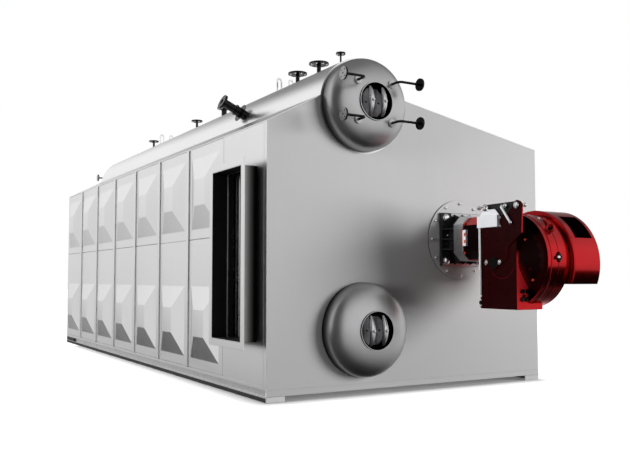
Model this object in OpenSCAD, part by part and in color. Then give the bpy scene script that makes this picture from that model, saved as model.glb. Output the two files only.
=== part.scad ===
// Packaged water-tube boiler: a panelled casing on a steel base, an upper and a
// lower drum with dished heads, a side flue outlet and a front-mounted burner.
// Millimetres, +Z up. The front, with the burner, faces -Y.

/* [Casing] */
// Width of the casing over its side skins
casing_w = 3580; // [3480:20:3700]
// Length of the casing
casing_l = 8320; // [8160:40:8480]
// Height of the eaves above the ground
eave_z = 2720; // [2700:10:2760]
// Rise of the left roof slope, degrees
left_slope = 27.8; // [27:0.2:29]
// Rise of the right roof slope, degrees
right_slope = 11; // [10.5:0.1:11.5]
// Thickness of the insulated casing walls
wall_t = 60; // [40:5:70]
// Thickness of the outer skin sheets
skin_t = 12; // [8:1:16]
// Thickness of the roof sheets
roof_t = 12; // [8:1:20]
// Number of bays along each side
bays = 8; // [8:1:8]

/* [Base] */
// Height of the base under the casing walls
base_z = 117; // [112:1:130]
// Height of the black runners under the side channels
runner_h = 42; // [36:1:48]
// Width of a runner
runner_w = 70; // [50:5:90]
// Width of a side channel
channel_w = 80; // [72:2:100]
// Thickness of a channel flange
channel_flange_t = 8; // [6:1:10]
// Depth of a channel's recessed web from its outer edge
web_inset = 26; // [16:2:34]
// Thickness of a channel web
web_t = 8; // [6:1:10]
// Height of the end beams
beam_h = 62; // [56:1:66]
// Thickness of the end beams and feet, front to back
beam_t = 16; // [12:1:24]
// Width of a corner foot
foot_w = 204; // [160:4:240]
// Thickness of the floor plate
floor_t = 10; // [6:1:14]
// Length of the black blocks that fill the channels at the rear
block_l = 540; // [400:20:600]

/* [Side panels] */
// Height of the rail under the side panels
rail_h = 32; // [24:1:40]
// Height of the joint between the lower and upper panels
seam_z = 1636; // [1620:4:1660]
// Gap left between neighbouring panels
panel_gap = 4; // [2:1:6]
// Size of a pressed boss where it leaves the panel
boss_w = 825; // [780:5:860]
// Size of the flat face of a boss
boss_face = 304; // [260:4:340]
// How far a boss stands out
boss_d = 73; // [50:1:80]
// Height of the middle of the upper bosses
upper_boss_z = 2166; // [2150:2:2180]
// Height of the middle of the lower bosses
lower_boss_z = 680; // [660:2:700]
// Width of the strips over the panel joints
batten_w = 56; // [40:2:70]
// How far the strips stand out
batten_t = 14; // [8:1:20]

/* [Drums] */
// Outer radius of both drums
drum_r = 480; // [470:2:490]
// Wall thickness of the drums and heads
drum_t = 30; // [20:2:36]
// Thickness of the jacket round the upper drum
jacket_t = 20; // [14:1:26]
// Distance of the drum axes from the left side
drum_x = 1096; // [1080:4:1110]
// Height of the upper drum's axis
upper_z = 2972; // [2960:2:2980]
// Height of the lower drum's axis
lower_z = 666; // [656:2:690]
// Straight length of a head
skirt_l = 60; // [55:1:65]
// Height of a head's dome
dome_h = 217; // [212:1:222]
// How full a head's shoulder is, 2 for a plain ellipse
fullness = 2.3; // [2:0.1:2.8]

/* [Manholes] */
// Radius of a manhole opening
manhole_r = 190; // [170:2:200]
// Width of the rim round a manhole
rim_w = 8; // [6:1:16]
// How far the rim stands out of the dome
rim_lip = 4; // [3:1:12]
// Depth of a manhole's neck
neck_l = 110; // [90:5:130]
// Inner radius of the ledge in the neck
ledge_r = 150; // [145:1:158]
// Thickness of the ledge
ledge_t = 12; // [8:1:16]
// Width of a cover plate
cover_w = 236; // [220:4:260]
// Height of a cover plate
cover_h = 284; // [260:4:290]
// Thickness of a cover plate
cover_t = 16; // [12:1:22]
// Distance between the two yokes of a cover
yoke_gap = 150; // [140:2:160]
// Width of a yoke at its middle
yoke_w = 50; // [40:2:56]
// Width of a yoke at its ends
yoke_end_w = 18; // [14:1:24]
// Overall height of a yoke
yoke_h = 324; // [316:2:330]
// How far a yoke bows outward
yoke_rise = 78; // [60:2:90]
// Thickness of a yoke
yoke_t = 14; // [10:1:18]
// Radius of a cover stud
stud_r = 10; // [8:1:13]
// Radius of a stud's nut
nut_r = 19; // [16:1:22]
// Thickness of a stud's nut
nut_t = 18; // [14:1:22]

/* [Gauge pipes] */
// Sideways distance of a gauge pipe from the drum axis
gauge_dx = 205; // [200:1:210]
// Height of a gauge pipe above or below the drum axis
gauge_dz = 201; // [196:1:206]
// Radius of the pad under a gauge pipe
pad_r = 42; // [36:1:50]
// Distance of the pad's face from the wall
pad_y = 262; // [260:1:268]
// Radius of a gauge pipe
gauge_pipe_r = 13; // [11:1:15]
// Radius of a gauge pipe's bore
gauge_bore_r = 8; // [6:0.5:9]
// Reach of a gauge pipe in front of the wall
gauge_reach = 385; // [370:5:400]
// Bend radius of a gauge pipe
gauge_bend_r = 44; // [36:2:50]
// Sideways distance of a gauge flange face from the drum axis
gauge_span = 472; // [460:2:490]
// Radius of a gauge flange
gauge_flange_r = 65; // [58:1:70]
// Thickness of a gauge flange
gauge_flange_t = 20; // [16:1:24]
// Radius of a gauge flange's bolt circle
gauge_pcd_r = 46; // [42:1:48]
// Radius of a gauge flange's bolt holes
gauge_hole_r = 7; // [5:0.5:8]

/* [Drum nozzles] */
// Height of the upright nozzles' top faces above the jacket's crown
nozzle_rise = 168; // [150:2:190]
// Thickness of the nozzle flanges
flange_t = 20; // [16:1:26]
// Distance of the vent from the front wall
vent_y = 406; // [390:4:420]
// Radius of the vent's flange
vent_flange_r = 52; // [46:1:56]
// Radius of the vent's pipe
vent_pipe_r = 10; // [8:1:12]
// Distance of the first safety-valve nozzle from the front wall
safety_y1 = 875; // [860:5:890]
// Distance of the second safety-valve nozzle from the front wall
safety_y2 = 1377; // [1360:5:1390]
// Radius of a safety-valve nozzle's flange
safety_flange_r = 114; // [105:1:120]
// Radius of a safety-valve nozzle's pipe
safety_pipe_r = 24; // [20:1:28]
// Distance of the steam nozzle from the front wall
steam_y = 3566; // [3540:5:3590]
// Radius of the steam nozzle's flange
steam_flange_r = 100; // [92:1:106]
// Radius of the steam nozzle's pipe
steam_pipe_r = 38; // [32:1:44]
// Distance of the first rear nozzle from the front wall
rear_y1 = 4620; // [4600:5:4640]
// Distance of the second rear nozzle from the front wall
rear_y2 = 6693; // [6670:5:6710]
// Radius of a rear nozzle's flange
rear_flange_r = 86; // [78:1:92]
// Radius of a rear nozzle's pipe
rear_pipe_r = 18; // [14:1:22]
// Share of a nozzle pipe's radius taken by its bore
bore_share = 0.7; // [0.6:0.02:0.8]
// Share of a nozzle flange's radius taken by its bolt circle
pcd_share = 0.78; // [0.76:0.01:0.8]
// Radius of the safety-valve nozzles' bolt holes
safety_hole_r = 9; // [7:0.5:10]
// Radius of the other nozzles' bolt holes
small_hole_r = 6; // [4:0.5:7]

/* [Feedwater nozzle] */
// Distance of the feedwater nozzle from the front wall
feed_y = 1920; // [1900:5:1940]
// Angle of the feedwater nozzle above the horizontal, degrees
feed_angle = 25; // [24:0.5:27]
// Distance of its flange face from the drum axis
feed_reach = 822; // [805:5:840]
// Radius of its flange
feed_flange_r = 90; // [84:1:96]
// Thickness of its flange
feed_flange_t = 28; // [22:1:32]
// Radius of its pipe
feed_pipe_r = 50; // [44:1:54]
// Distance of its ring from the drum axis
feed_ring_at = 615; // [605:5:625]
// Radius of its ring
feed_ring_r = 68; // [66:1:74]
// Thickness of its ring
feed_ring_t = 18; // [12:1:22]
// Radius of its thermal sleeve
feed_sleeve_r = 60; // [56:1:62]
// Radius of the collar plate where it meets the jacket
collar_r = 112; // [104:1:120]
// Distance of the collar plate from the drum axis
collar_at = 546; // [540:2:552]
// Thickness of the collar plate
collar_t = 8; // [6:1:12]

/* [Lifting lugs] */
// Distance of the front lugs from the front wall
lug_y1 = 1694; // [1680:4:1710]
// Distance of the rear lugs from the front wall
lug_y2 = 6018; // [6000:4:6030]
// Sideways distance of a lug from the drum axis
lug_dx = 82; // [76:2:90]
// Width of a lug
lug_w = 76; // [68:2:84]
// Width of a lug's bar
lug_bar = 20; // [16:1:24]
// Thickness of a lug
lug_t = 22; // [16:1:28]

/* [Flue outlet] */
// Distance of the flue opening from the front wall
flue_y = 228; // [220:4:240]
// Distance from the flue opening to the first panel joint
flue_end_gap = 105; // [90:1:115]
// Height of the bottom of the flue opening
flue_z = 570; // [560:5:590]
// Height of the flue opening itself
flue_h = 1720; // [1690:5:1730]
// How far the flue duct stands out of the side
flue_reach = 170; // [150:5:190]
// Thickness of the duct's sheet
duct_t = 6; // [4:1:8]
// Width of the duct's flange
flue_margin = 75; // [66:1:80]
// Thickness of the duct's flange
flue_flange_t = 10; // [8:1:14]

/* [Boiler tubes] */
// Radius of a boiler tube
tube_r = 27; // [25:1:30]
// Distance between neighbouring tubes
tube_pitch = 108; // [100:1:112]
// Number of tubes in the row by the flue opening
tube_count = 12; // [10:1:14]
// Distance of the tube row from the left side
tube_x = 146; // [140:2:160]
// Distance of the first tube from the front wall
tube_y = 160; // [150:2:170]
// Bend radius of a boiler tube
tube_bend_r = 120; // [100:5:140]
// Height at which the tubes enter the lower drum
tube_low_z = 420; // [400:5:440]
// Height at which the tubes enter the upper drum
tube_high_z = 2600; // [2590:5:2620]

/* [Burner mounting] */
// Distance of the burner axis from the left side
burner_x = 2390; // [2370:4:2420]
// Height of the burner axis
burner_z = 1612; // [1600:4:1630]
// Radius of the round mounting plate
plate_r = 440; // [430:2:450]
// Thickness of the round mounting plate
plate_t = 15; // [12:1:20]
// Radius of its bolt circle
plate_pcd_r = 400; // [394:1:404]
// Number of bolts on the mounting plate
plate_bolts = 12; // [12:1:12]
// Radius of a small bolt head
bolt_r = 13; // [10:1:15]
// Height of a small bolt head
bolt_h = 10; // [8:1:14]
// Half width of the square flange
square_half = 290; // [284:1:296]
// Thickness of the square flange
square_t = 35; // [30:1:40]
// Distance of the large bolts from the burner axis, each way
big_bolt_at = 233; // [230:1:238]
// Radius of a large bolt head
big_bolt_r = 34; // [28:1:38]
// Height of a large bolt head
big_bolt_h = 25; // [18:1:30]
// Half width of the throat behind the octagonal frame
throat_half = 185; // [180:1:190]
// Length of the throat
throat_l = 140; // [134:1:146]
// Thickness of a gusset
gusset_t = 12; // [8:1:16]
// Distance between neighbouring gussets
gusset_pitch = 110; // [96:2:120]
// Half width of the octagonal frame
octagon_half = 240; // [236:1:244]
// Corner cut of the octagonal frame
octagon_cut = 88; // [84:1:92]
// Length of the octagonal frame
octagon_l = 147; // [140:1:154]
// Half width of the burner neck
neck_half = 222; // [218:1:226]
// Length of the burner neck
burner_neck_l = 337; // [330:1:344]

/* [Burner housing] */
// Distance of the housing's left face from the left side
housing_x = 2100; // [2096:1:2104]
// Width of the housing
housing_w = 340; // [330:5:350]
// Length of the housing, front to back
housing_l = 496; // [486:2:506]
// Height of the bottom of the housing
housing_z = 882; // [876:2:890]
// Height of the housing
housing_h = 813; // [806:1:820]
// Thickness of the side plate
side_t = 14; // [10:1:18]
// Radius of the knuckle pin at the ear
ear_pin_r = 16; // [12:1:20]
// Radius of the fan casing
fan_r = 465; // [460:1:470]
// Distance of the fan axis from the front wall
fan_y = 965; // [960:1:970]
// Height of the fan axis
fan_z = 1363; // [1358:1:1368]
// Distance of the fan casing's left rim from the left side
fan_x = 2250; // [2246:1:2254]
// Width of the fan casing
fan_w = 282; // [276:1:288]
// Thickness of the fan casing's rim
fan_rim_t = 14; // [10:1:18]
// Depth of the seam groove round the fan casing
seam_d = 4; // [3:1:6]
// Width of the seam groove
seam_w = 6; // [4:1:8]
// Radius of the air intake
intake_r = 540; // [534:1:546]
// Distance of the intake axis from the front wall
intake_y = 945; // [940:1:950]
// Height of the intake axis
intake_z = 1335; // [1330:1:1340]
// Width of the air intake
intake_w = 360; // [350:1:368]
// Gap between the fan casing and the air intake
intake_gap = 13; // [10:1:16]
// Thickness of the intake sheet
intake_t = 10; // [8:1:14]
// Height at which the intake is cut flat
intake_cut_z = 1130; // [1120:2:1140]
// Radius of the rolled lip of the intake
lip_r = 16; // [12:1:20]
// Radius of the spigot between fan casing and intake
spigot_r = 300; // [280:5:320]

/* [Burner controls] */
// Thickness of the control box
box_w = 30; // [24:1:40]
// Length of the control box
box_l = 290; // [280:2:300]
// Height of the control box
box_h = 118; // [112:1:122]
// Rise of the bracket behind the control box
bracket_rise = 62; // [56:1:66]
// Thickness of the bracket
bracket_t = 8; // [5:1:10]
// Thickness of the lever arm
arm_t = 10; // [8:1:12]
// Radius of a ball joint
ball_r = 24; // [20:1:26]
// Radius of the link rods
rod_r = 7; // [5:1:9]
// Size of a cable gland
gland_w = 44; // [38:1:48]
// How far a cable gland stands out
gland_d = 22; // [16:1:28]
// Radius of a side-plate screw's head
screw_r = 22; // [16:1:26]
// Height of a side-plate screw's head
screw_h = 12; // [8:1:16]
// Radius of the plug in the side plate
plug_r = 57; // [50:1:60]
// Width of the fan casing's latch
latch_w = 72; // [60:2:80]
// Height of the fan casing's latch
latch_h = 100; // [90:2:110]
// How far the latch stands out
latch_d = 14; // [10:1:18]
// Radius of the lifting eye on the fan casing
eye_r = 32; // [26:1:36]
// Angle of the lifting eye above the front of the fan, degrees
eye_angle = -38; // [-42:1:-34]
// Height of the terminal block
block_h = 170; // [150:5:180]
// Width of the terminal block
block_w = 60; // [50:2:70]
// How far the terminal block stands out
block_t = 30; // [20:1:40]

/* [Output] */
// Node to draw, or all

/* [Hidden] */
seat = 0.3;
cut = 5;
curve_fn = 96;
small_fn = 48;
bay = casing_l / bays;
reach_x_right = casing_w + boss_d;
burner_front = intake_y + intake_r;
gauge_rear = casing_l + gauge_reach + gauge_flange_r;
shift_x = (reach_x_right - flue_reach) / 2;
shift_y = (gauge_rear - burner_front) / 2;
jacket_r = drum_r + jacket_t;
top_z = upper_z + jacket_r + nozzle_rise;
flue_l = bay - flue_y - flue_end_gap;
crown_y = skirt_l + dome_h;
wall_x = skin_t;
panel_z = base_z + rail_h;
octagon_y = plate_t + square_t + throat_l;
neck_y = octagon_y + octagon_l;
housing_y = neck_y + burner_neck_l;
housing_front = housing_y + housing_l;
intake_x = fan_x + fan_w + intake_gap;
box_top_z = housing_z + housing_h;

// Everything is drawn in the casing's own corner frame and moved once.
module place() {
    translate([-shift_x, -shift_y, 0]) children();
}

module rod_x(r, from, to, y, z) {
    translate([from, y, z]) rotate([0, 90, 0]) cylinder(r = r, h = to - from, $fn = curve_fn);
}

module rod_y(r, from, to, x, z) {
    translate([x, to, z]) rotate([90, 0, 0]) cylinder(r = r, h = to - from, $fn = curve_fn);
}

module rod_z(r, from, to, x, y) {
    translate([x, y, from]) cylinder(r = r, h = to - from, $fn = curve_fn);
}

module box(from, to) {
    translate(from) cube(to - from);
}

module along_y(from, to) {
    translate([0, to, 0]) rotate([90, 0, 0]) linear_extrude(height = to - from) children();
}

module right_side() {
    translate([casing_w, 0, 0]) mirror([1, 0, 0]) children();
}

module both_sides() {
    children();
    right_side() children();
}

module both_ends() {
    children();
    translate([0, casing_l, 0]) mirror([0, 1, 0]) children();
}

// Base

module skid_channels() {
    color("silver") place() both_sides() {
        box([0, beam_t, base_z - channel_flange_t], [channel_w, casing_l - beam_t, base_z]);
        box([0, beam_t, runner_h], [channel_w, casing_l - beam_t, runner_h + channel_flange_t]);
        box([web_inset, beam_t, runner_h + channel_flange_t - seat],
            [web_inset + web_t, casing_l - beam_t, base_z - channel_flange_t + seat]);
    }
}

module skid_runners() {
    color("black") place() both_sides() {
        box([channel_flange_t, beam_t, 0], [channel_flange_t + runner_w, casing_l - beam_t, runner_h]);
        box([0, casing_l - beam_t - block_l, runner_h + channel_flange_t + seat],
            [web_inset - seat, casing_l - beam_t, base_z - channel_flange_t - seat]);
    }
}

module end_beams() {
    color("silver") place() both_ends()
        box([0, 0, base_z - beam_h], [casing_w, beam_t, base_z]);
}

module corner_feet() {
    color("silver") place() both_ends() both_sides()
        box([0, 0, 0], [foot_w, beam_t, base_z - beam_h]);
}

module floor_plate() {
    color("gray") place()
        box([wall_x + wall_t, wall_t, base_z],
            [casing_w - wall_x - wall_t, casing_l - wall_t, base_z + floor_t]);
}

// Casing

module roof_outline(drop) {
    rise_left = tan(left_slope) * drum_x;
    rise_right = tan(right_slope) * (casing_w - drum_x);
    polygon([[0, base_z], [casing_w, base_z], [casing_w, eave_z - drop],
        [drum_x, eave_z + rise_right - drop], [drum_x, eave_z + rise_left - drop], [0, eave_z - drop]]);
}

module end_wall(front) {
    difference() {
        translate([0, front ? 0 : casing_l - wall_t, 0]) along_y(0, wall_t) roof_outline(roof_t);
        rod_y(jacket_r + seat, -cut, casing_l + cut, drum_x, upper_z);
        rod_y(drum_r + seat, -cut, casing_l + cut, drum_x, lower_z);
    }
}

module front_wall() {
    color("gainsboro") place() end_wall(true);
}

module rear_wall() {
    color("gainsboro") place() end_wall(false);
}

module flue_hole(grow) {
    box([-flue_reach - cut, flue_y - grow, flue_z - grow],
        [wall_x + wall_t + cut, flue_y + flue_l + grow, flue_z + flue_h + grow]);
}

module left_wall() {
    color("gainsboro") place() {
        difference() {
            box([wall_x, wall_t, base_z], [wall_x + wall_t, bay, eave_z - roof_t]);
            flue_hole(0);
        }
        box([wall_x, bay + seat, base_z], [wall_x + wall_t, casing_l - wall_t, eave_z - roof_t]);
    }
}

module right_wall() {
    color("gainsboro") place()
        box([casing_w - wall_x - wall_t, wall_t, base_z],
            [casing_w - wall_x, casing_l - wall_t, eave_z - roof_t]);
}

module roof_sheet(x0, x1) {
    difference() {
        along_y(0, casing_l) difference() {
            roof_outline(0);
            roof_outline(roof_t);
            translate([x1, 0]) square([casing_w, upper_z + jacket_r]);
            translate([x0 - casing_w, 0]) square([casing_w, upper_z + jacket_r]);
        }
        rod_y(jacket_r + seat, -cut, casing_l + cut, drum_x, upper_z);
    }
}

module roof_sheets() {
    color("gainsboro") place() {
        roof_sheet(0, drum_x - jacket_r / 2);
        roof_sheet(drum_x + jacket_r / 2, casing_w);
    }
}

module base_rails() {
    color("gainsboro") place() both_sides()
        box([0, wall_t, base_z], [wall_x, casing_l - wall_t, panel_z]);
}

module front_bay_skins() {
    color("gainsboro") place() {
        difference() {
            box([0, wall_t, panel_z], [wall_x, bay - panel_gap / 2, eave_z - roof_t]);
            flue_hole(0);
        }
        box([casing_w - wall_x, wall_t, panel_z], [casing_w, bay - panel_gap / 2, eave_z - roof_t]);
    }
}

module boss(z) {
    translate([0, 0, z]) rotate([0, -90, 0]) linear_extrude(height = boss_d, scale = boss_face / boss_w)
        square([boss_w, boss_w], center = true);
}

module side_panels() {
    for (i = [1 : bays - 1]) {
        y0 = i * bay + panel_gap / 2;
        y1 = i == bays - 1 ? casing_l - wall_t : (i + 1) * bay - panel_gap / 2;
        mid = (i + 0.5) * bay;
        union() {
            box([0, y0, panel_z], [wall_x, y1, seam_z - panel_gap / 2]);
            translate([0, mid, 0]) boss(lower_boss_z);
        }
        union() {
            box([0, y0, seam_z + panel_gap / 2], [wall_x, y1, eave_z - roof_t]);
            translate([0, mid, 0]) boss(upper_boss_z);
        }
    }
}

module left_panels() {
    color("gainsboro") place() side_panels();
}

module right_panels() {
    color("gainsboro") place() right_side() side_panels();
}

module side_battens() {
    for (i = [bays / 4 : bays - 1])
        box([-batten_t, i * bay - batten_w / 2, panel_z], [0, i * bay + batten_w / 2, eave_z - roof_t]);
}

module panel_battens() {
    color("silver") place() both_sides() side_battens();
}

// Flue outlet and tubes

module flue_outlet() {
    color("gainsboro") place() {
        difference() {
            box([-flue_reach, flue_y - duct_t, flue_z - duct_t],
                [0, flue_y + flue_l + duct_t, flue_z + flue_h + duct_t]);
            flue_hole(0);
        }
        difference() {
            box([-flue_reach, flue_y - flue_margin, flue_z - flue_margin],
                [-flue_reach + flue_flange_t, flue_y + flue_l + flue_margin, flue_z + flue_h + flue_margin]);
            flue_hole(duct_t + seat);
        }
    }
}

module tube_bend(r) {
    rotate_extrude(angle = 90, $fn = curve_fn) translate([tube_bend_r, 0]) circle(r = r, $fn = small_fn);
}

module tube_path(r) {
    low = tube_low_z + tube_bend_r;
    high = tube_high_z - tube_bend_r;
    translate([tube_x, 0, low]) cylinder(r = r, h = high - low, $fn = small_fn);
    translate([tube_x + tube_bend_r, 0, low]) rotate([-90, 0, 180]) tube_bend(r);
    translate([tube_x + tube_bend_r, 0, high]) rotate([90, 0, 180]) tube_bend(r);
    for (z = [tube_low_z, tube_high_z])
        translate([tube_x + tube_bend_r, 0, z]) rotate([0, 90, 0])
            cylinder(r = r, h = drum_x - tube_x - tube_bend_r, $fn = small_fn);
}

module boiler_tubes() {
    color("dimgray") place() for (i = [0 : tube_count - 1])
        difference() {
            translate([0, tube_y + i * tube_pitch, 0]) tube_path(tube_r);
            rod_y(drum_r + seat, -cut, casing_l, drum_x, lower_z);
            rod_y(drum_r + seat, -cut, casing_l, drum_x, upper_z);
        }
}

// Drums and heads

module nozzle_bores() {
    rod_z(vent_pipe_r * bore_share, upper_z, top_z + cut, drum_x, vent_y);
    for (y = [safety_y1, safety_y2])
        rod_z(safety_pipe_r * bore_share, upper_z, top_z + cut, drum_x, y);
    rod_z(steam_pipe_r * bore_share, upper_z, top_z + cut, drum_x, steam_y);
    for (y = [rear_y1, rear_y2])
        rod_z(rear_pipe_r * bore_share, upper_z, top_z + cut, drum_x, y);
    feed_axis() cylinder(r = feed_pipe_r * bore_share, h = feed_reach + cut, $fn = curve_fn);
}

module feed_axis() {
    translate([drum_x, feed_y, upper_z]) rotate([0, feed_angle - 90, 0]) children();
}

module drum_tube(z) {
    difference() {
        rod_y(drum_r, 0, casing_l, drum_x, z);
        rod_y(drum_r - drum_t, -cut, casing_l + cut, drum_x, z);
    }
}

module upper_drum() {
    color("dimgray") place() difference() {
        drum_tube(upper_z);
        nozzle_bores();
    }
}

module lower_drum() {
    color("dimgray") place() drum_tube(lower_z);
}

module drum_jacket() {
    color("gainsboro") place() difference() {
        rod_y(jacket_r, 0, casing_l, drum_x, upper_z);
        rod_y(drum_r + seat, -cut, casing_l + cut, drum_x, upper_z);
        along_y(wall_t, casing_l - wall_t) roof_outline(wall_t);
        rod_z(vent_pipe_r + seat, upper_z, top_z, drum_x, vent_y);
        for (y = [safety_y1, safety_y2]) rod_z(safety_pipe_r + seat, upper_z, top_z, drum_x, y);
        rod_z(steam_pipe_r + seat, upper_z, top_z, drum_x, steam_y);
        for (y = [rear_y1, rear_y2]) rod_z(rear_pipe_r + seat, upper_z, top_z, drum_x, y);
        feed_axis() cylinder(r = feed_sleeve_r + seat, h = feed_reach, $fn = curve_fn);
    }
}

// Half section of a dished head, radius against distance from the wall.
function head_line(grow) = concat([[0, crown_y + grow]],
    [for (a = [6 : 4 : 90]) [(drum_r + grow) * pow(sin(a), 2 / fullness),
        skirt_l + (dome_h + grow) * pow(cos(a), 2 / fullness)]]);

module head_body(grow, base) {
    rotate([90, 0, 0]) rotate_extrude($fn = curve_fn)
        polygon(concat(head_line(grow), [[drum_r + grow, base], [0, base]]));
}

module head_at(z, rear) {
    translate([drum_x, rear ? casing_l : 0, z]) mirror([0, rear ? 1 : 0, 0]) children();
}

module head_shell() {
    difference() {
        head_body(0, 0);
        head_body(-drum_t, -cut);
        rod_y(manhole_r + rim_w + seat, -crown_y - cut, 0, 0, 0);
        gauge_places() rod_y(gauge_bore_r, -crown_y, 0, 0, 0);
    }
}

module plain_head_shell() {
    difference() {
        head_body(0, 0);
        head_body(-drum_t, -cut);
        rod_y(manhole_r + rim_w + seat, -crown_y - cut, 0, 0, 0);
    }
}

module heads_at(z) {
    head_at(z, false) children();
    head_at(z, true) children();
}

module upper_heads() {
    color("slategray") place() heads_at(upper_z) head_shell();
}

module lower_heads() {
    color("slategray") place() heads_at(lower_z) plain_head_shell();
}

module all_heads() {
    heads_at(upper_z) children();
    heads_at(lower_z) children();
}

// Manholes

module manhole_rims() {
    color("silver") place() all_heads() difference() {
        rod_y(manhole_r + rim_w, -crown_y - rim_lip, -crown_y + neck_l, 0, 0);
        rod_y(manhole_r, -crown_y - rim_lip - cut, -crown_y + neck_l - ledge_t, 0, 0);
        rod_y(ledge_r, -crown_y, -crown_y + neck_l + cut, 0, 0);
    }
}

module manhole_covers() {
    inner = -crown_y + neck_l;
    c = cover_w / 4;
    color("gray") place() all_heads() difference() {
        along_y(inner - ledge_t - seat - cover_t, inner - ledge_t - seat) polygon([
            [-cover_w / 2, -cover_h / 2 + c], [-cover_w / 2 + c, -cover_h / 2],
            [cover_w / 2 - c, -cover_h / 2], [cover_w / 2, -cover_h / 2 + c],
            [cover_w / 2, cover_h / 2 - c], [cover_w / 2 - c, cover_h / 2],
            [-cover_w / 2 + c, cover_h / 2], [-cover_w / 2, cover_h / 2 - c]]);
        for (s = [-1, 1]) rod_y(stud_r + seat, -crown_y, inner, s * yoke_gap / 2, 0);
    }
}

function bow(z) = yoke_rise * (1 - pow(2 * z / yoke_h, 2));

module yoke() {
    n = 12;
    difference() {
        rotate([90, 0, 90]) linear_extrude(height = yoke_w, center = true) polygon(concat(
            [for (i = [0 : n]) let(z = -yoke_h / 2 + yoke_h * i / n) [-crown_y + yoke_t - bow(z), z]],
            [for (i = [n : -1 : 0]) let(z = -yoke_h / 2 + yoke_h * i / n) [-crown_y - bow(z), z]]));
        for (s = [-1, 1])
            for (v = [-1, 1])
                translate([s * yoke_w / 2, -crown_y - yoke_rise - cut, 0])
                    rotate([0, s * v * atan((yoke_w - yoke_end_w) / yoke_h), 0])
                        translate([s > 0 ? 0 : -yoke_w, 0, v > 0 ? 0 : -yoke_h])
                            cube([yoke_w, yoke_rise + yoke_t + 2 * cut, yoke_h]);
        rod_y(stud_r + seat, -crown_y - yoke_rise - cut, 0, 0, 0);
    }
}

module cover_yokes() {
    face = -crown_y - yoke_rise - seat;
    color("silver") place() all_heads() for (s = [-1, 1]) {
        translate([s * yoke_gap / 2, 0, 0]) yoke();
        rod_y(stud_r, face - nut_t - yoke_t, -crown_y + neck_l - ledge_t, s * yoke_gap / 2, 0);
        translate([s * yoke_gap / 2, face, 0]) rotate([90, 0, 0])
            linear_extrude(height = nut_t) circle(r = nut_r, $fn = 6);
    }
}

// Gauge pipes

module gauge_places() {
    for (s = [-1, 1])
        for (v = [-1, 1])
            translate([s * gauge_dx, 0, v * gauge_dz]) children();
}

module gauge_pads() {
    color("gray") place() heads_at(upper_z) difference() {
        gauge_places() rod_y(pad_r, -pad_y, -skirt_l, 0, 0);
        head_body(seat, -cut);
        gauge_places() rod_y(gauge_pipe_r + seat, -crown_y - cut, 0, 0, 0);
    }
}

module gauge_pipe(r, over) {
    rod_y(r, -gauge_reach + gauge_bend_r, 0, gauge_dx, 0);
    translate([gauge_dx + gauge_bend_r, -gauge_reach + gauge_bend_r, 0]) rotate([0, 0, 180])
        rotate_extrude(angle = 90, $fn = curve_fn) translate([gauge_bend_r, 0]) circle(r = r, $fn = small_fn);
    rod_x(r, gauge_dx + gauge_bend_r, gauge_span - gauge_flange_t + over, -gauge_reach, 0);
}

module gauge_flange() {
    translate([0, -gauge_reach, 0]) difference() {
        rod_x(gauge_flange_r, gauge_span - gauge_flange_t, gauge_span, 0, 0);
        rod_x(gauge_bore_r, gauge_span - gauge_flange_t - cut, gauge_span + cut, 0, 0);
        for (a = [45 : 90 : 315])
            rod_x(gauge_hole_r, gauge_span - gauge_flange_t - cut, gauge_span + cut,
                gauge_pcd_r * cos(a), gauge_pcd_r * sin(a));
    }
}

module gauge_pipes() {
    color("dimgray") place() heads_at(upper_z) for (s = [0, 1])
        for (v = [-1, 1])
            mirror([s, 0, 0]) translate([0, 0, v * gauge_dz]) {
                difference() {
                    gauge_pipe(gauge_pipe_r, 0);
                    translate([0, 0, -v * gauge_dz]) head_body(seat, -cut);
                    gauge_pipe(gauge_bore_r, cut);
                }
                gauge_flange();
            }
}

// Drum nozzles

module bolt_circle(pcd_r, hole_r, count, z0, z1) {
    for (i = [0 : count - 1]) rotate([0, 0, 360 * (i + 0.5) / count]) translate([pcd_r, 0, z0])
        cylinder(r = hole_r, h = z1 - z0, $fn = small_fn);
}

module nozzle(y, flange_r, pipe_r, hole_r, count) {
    difference() {
        union() {
            rod_z(pipe_r, upper_z, top_z - flange_t / 2, drum_x, y);
            rod_z(flange_r, top_z - flange_t, top_z, drum_x, y);
        }
        rod_y(drum_r + seat, y - flange_r, y + flange_r, drum_x, upper_z);
        rod_z(pipe_r * bore_share, upper_z, top_z + cut, drum_x, y);
        translate([drum_x, y, 0])
            bolt_circle(flange_r * pcd_share, hole_r, count, top_z - flange_t - cut, top_z + cut);
    }
}

module safety_nozzles() {
    color("dimgray") place() for (y = [safety_y1, safety_y2])
        nozzle(y, safety_flange_r, safety_pipe_r, safety_hole_r, 8);
}

module service_nozzles() {
    color("dimgray") place() {
        nozzle(vent_y, vent_flange_r, vent_pipe_r, small_hole_r, 4);
        nozzle(steam_y, steam_flange_r, steam_pipe_r, safety_hole_r, 8);
        for (y = [rear_y1, rear_y2]) nozzle(y, rear_flange_r, rear_pipe_r, small_hole_r, 4);
    }
}

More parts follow.
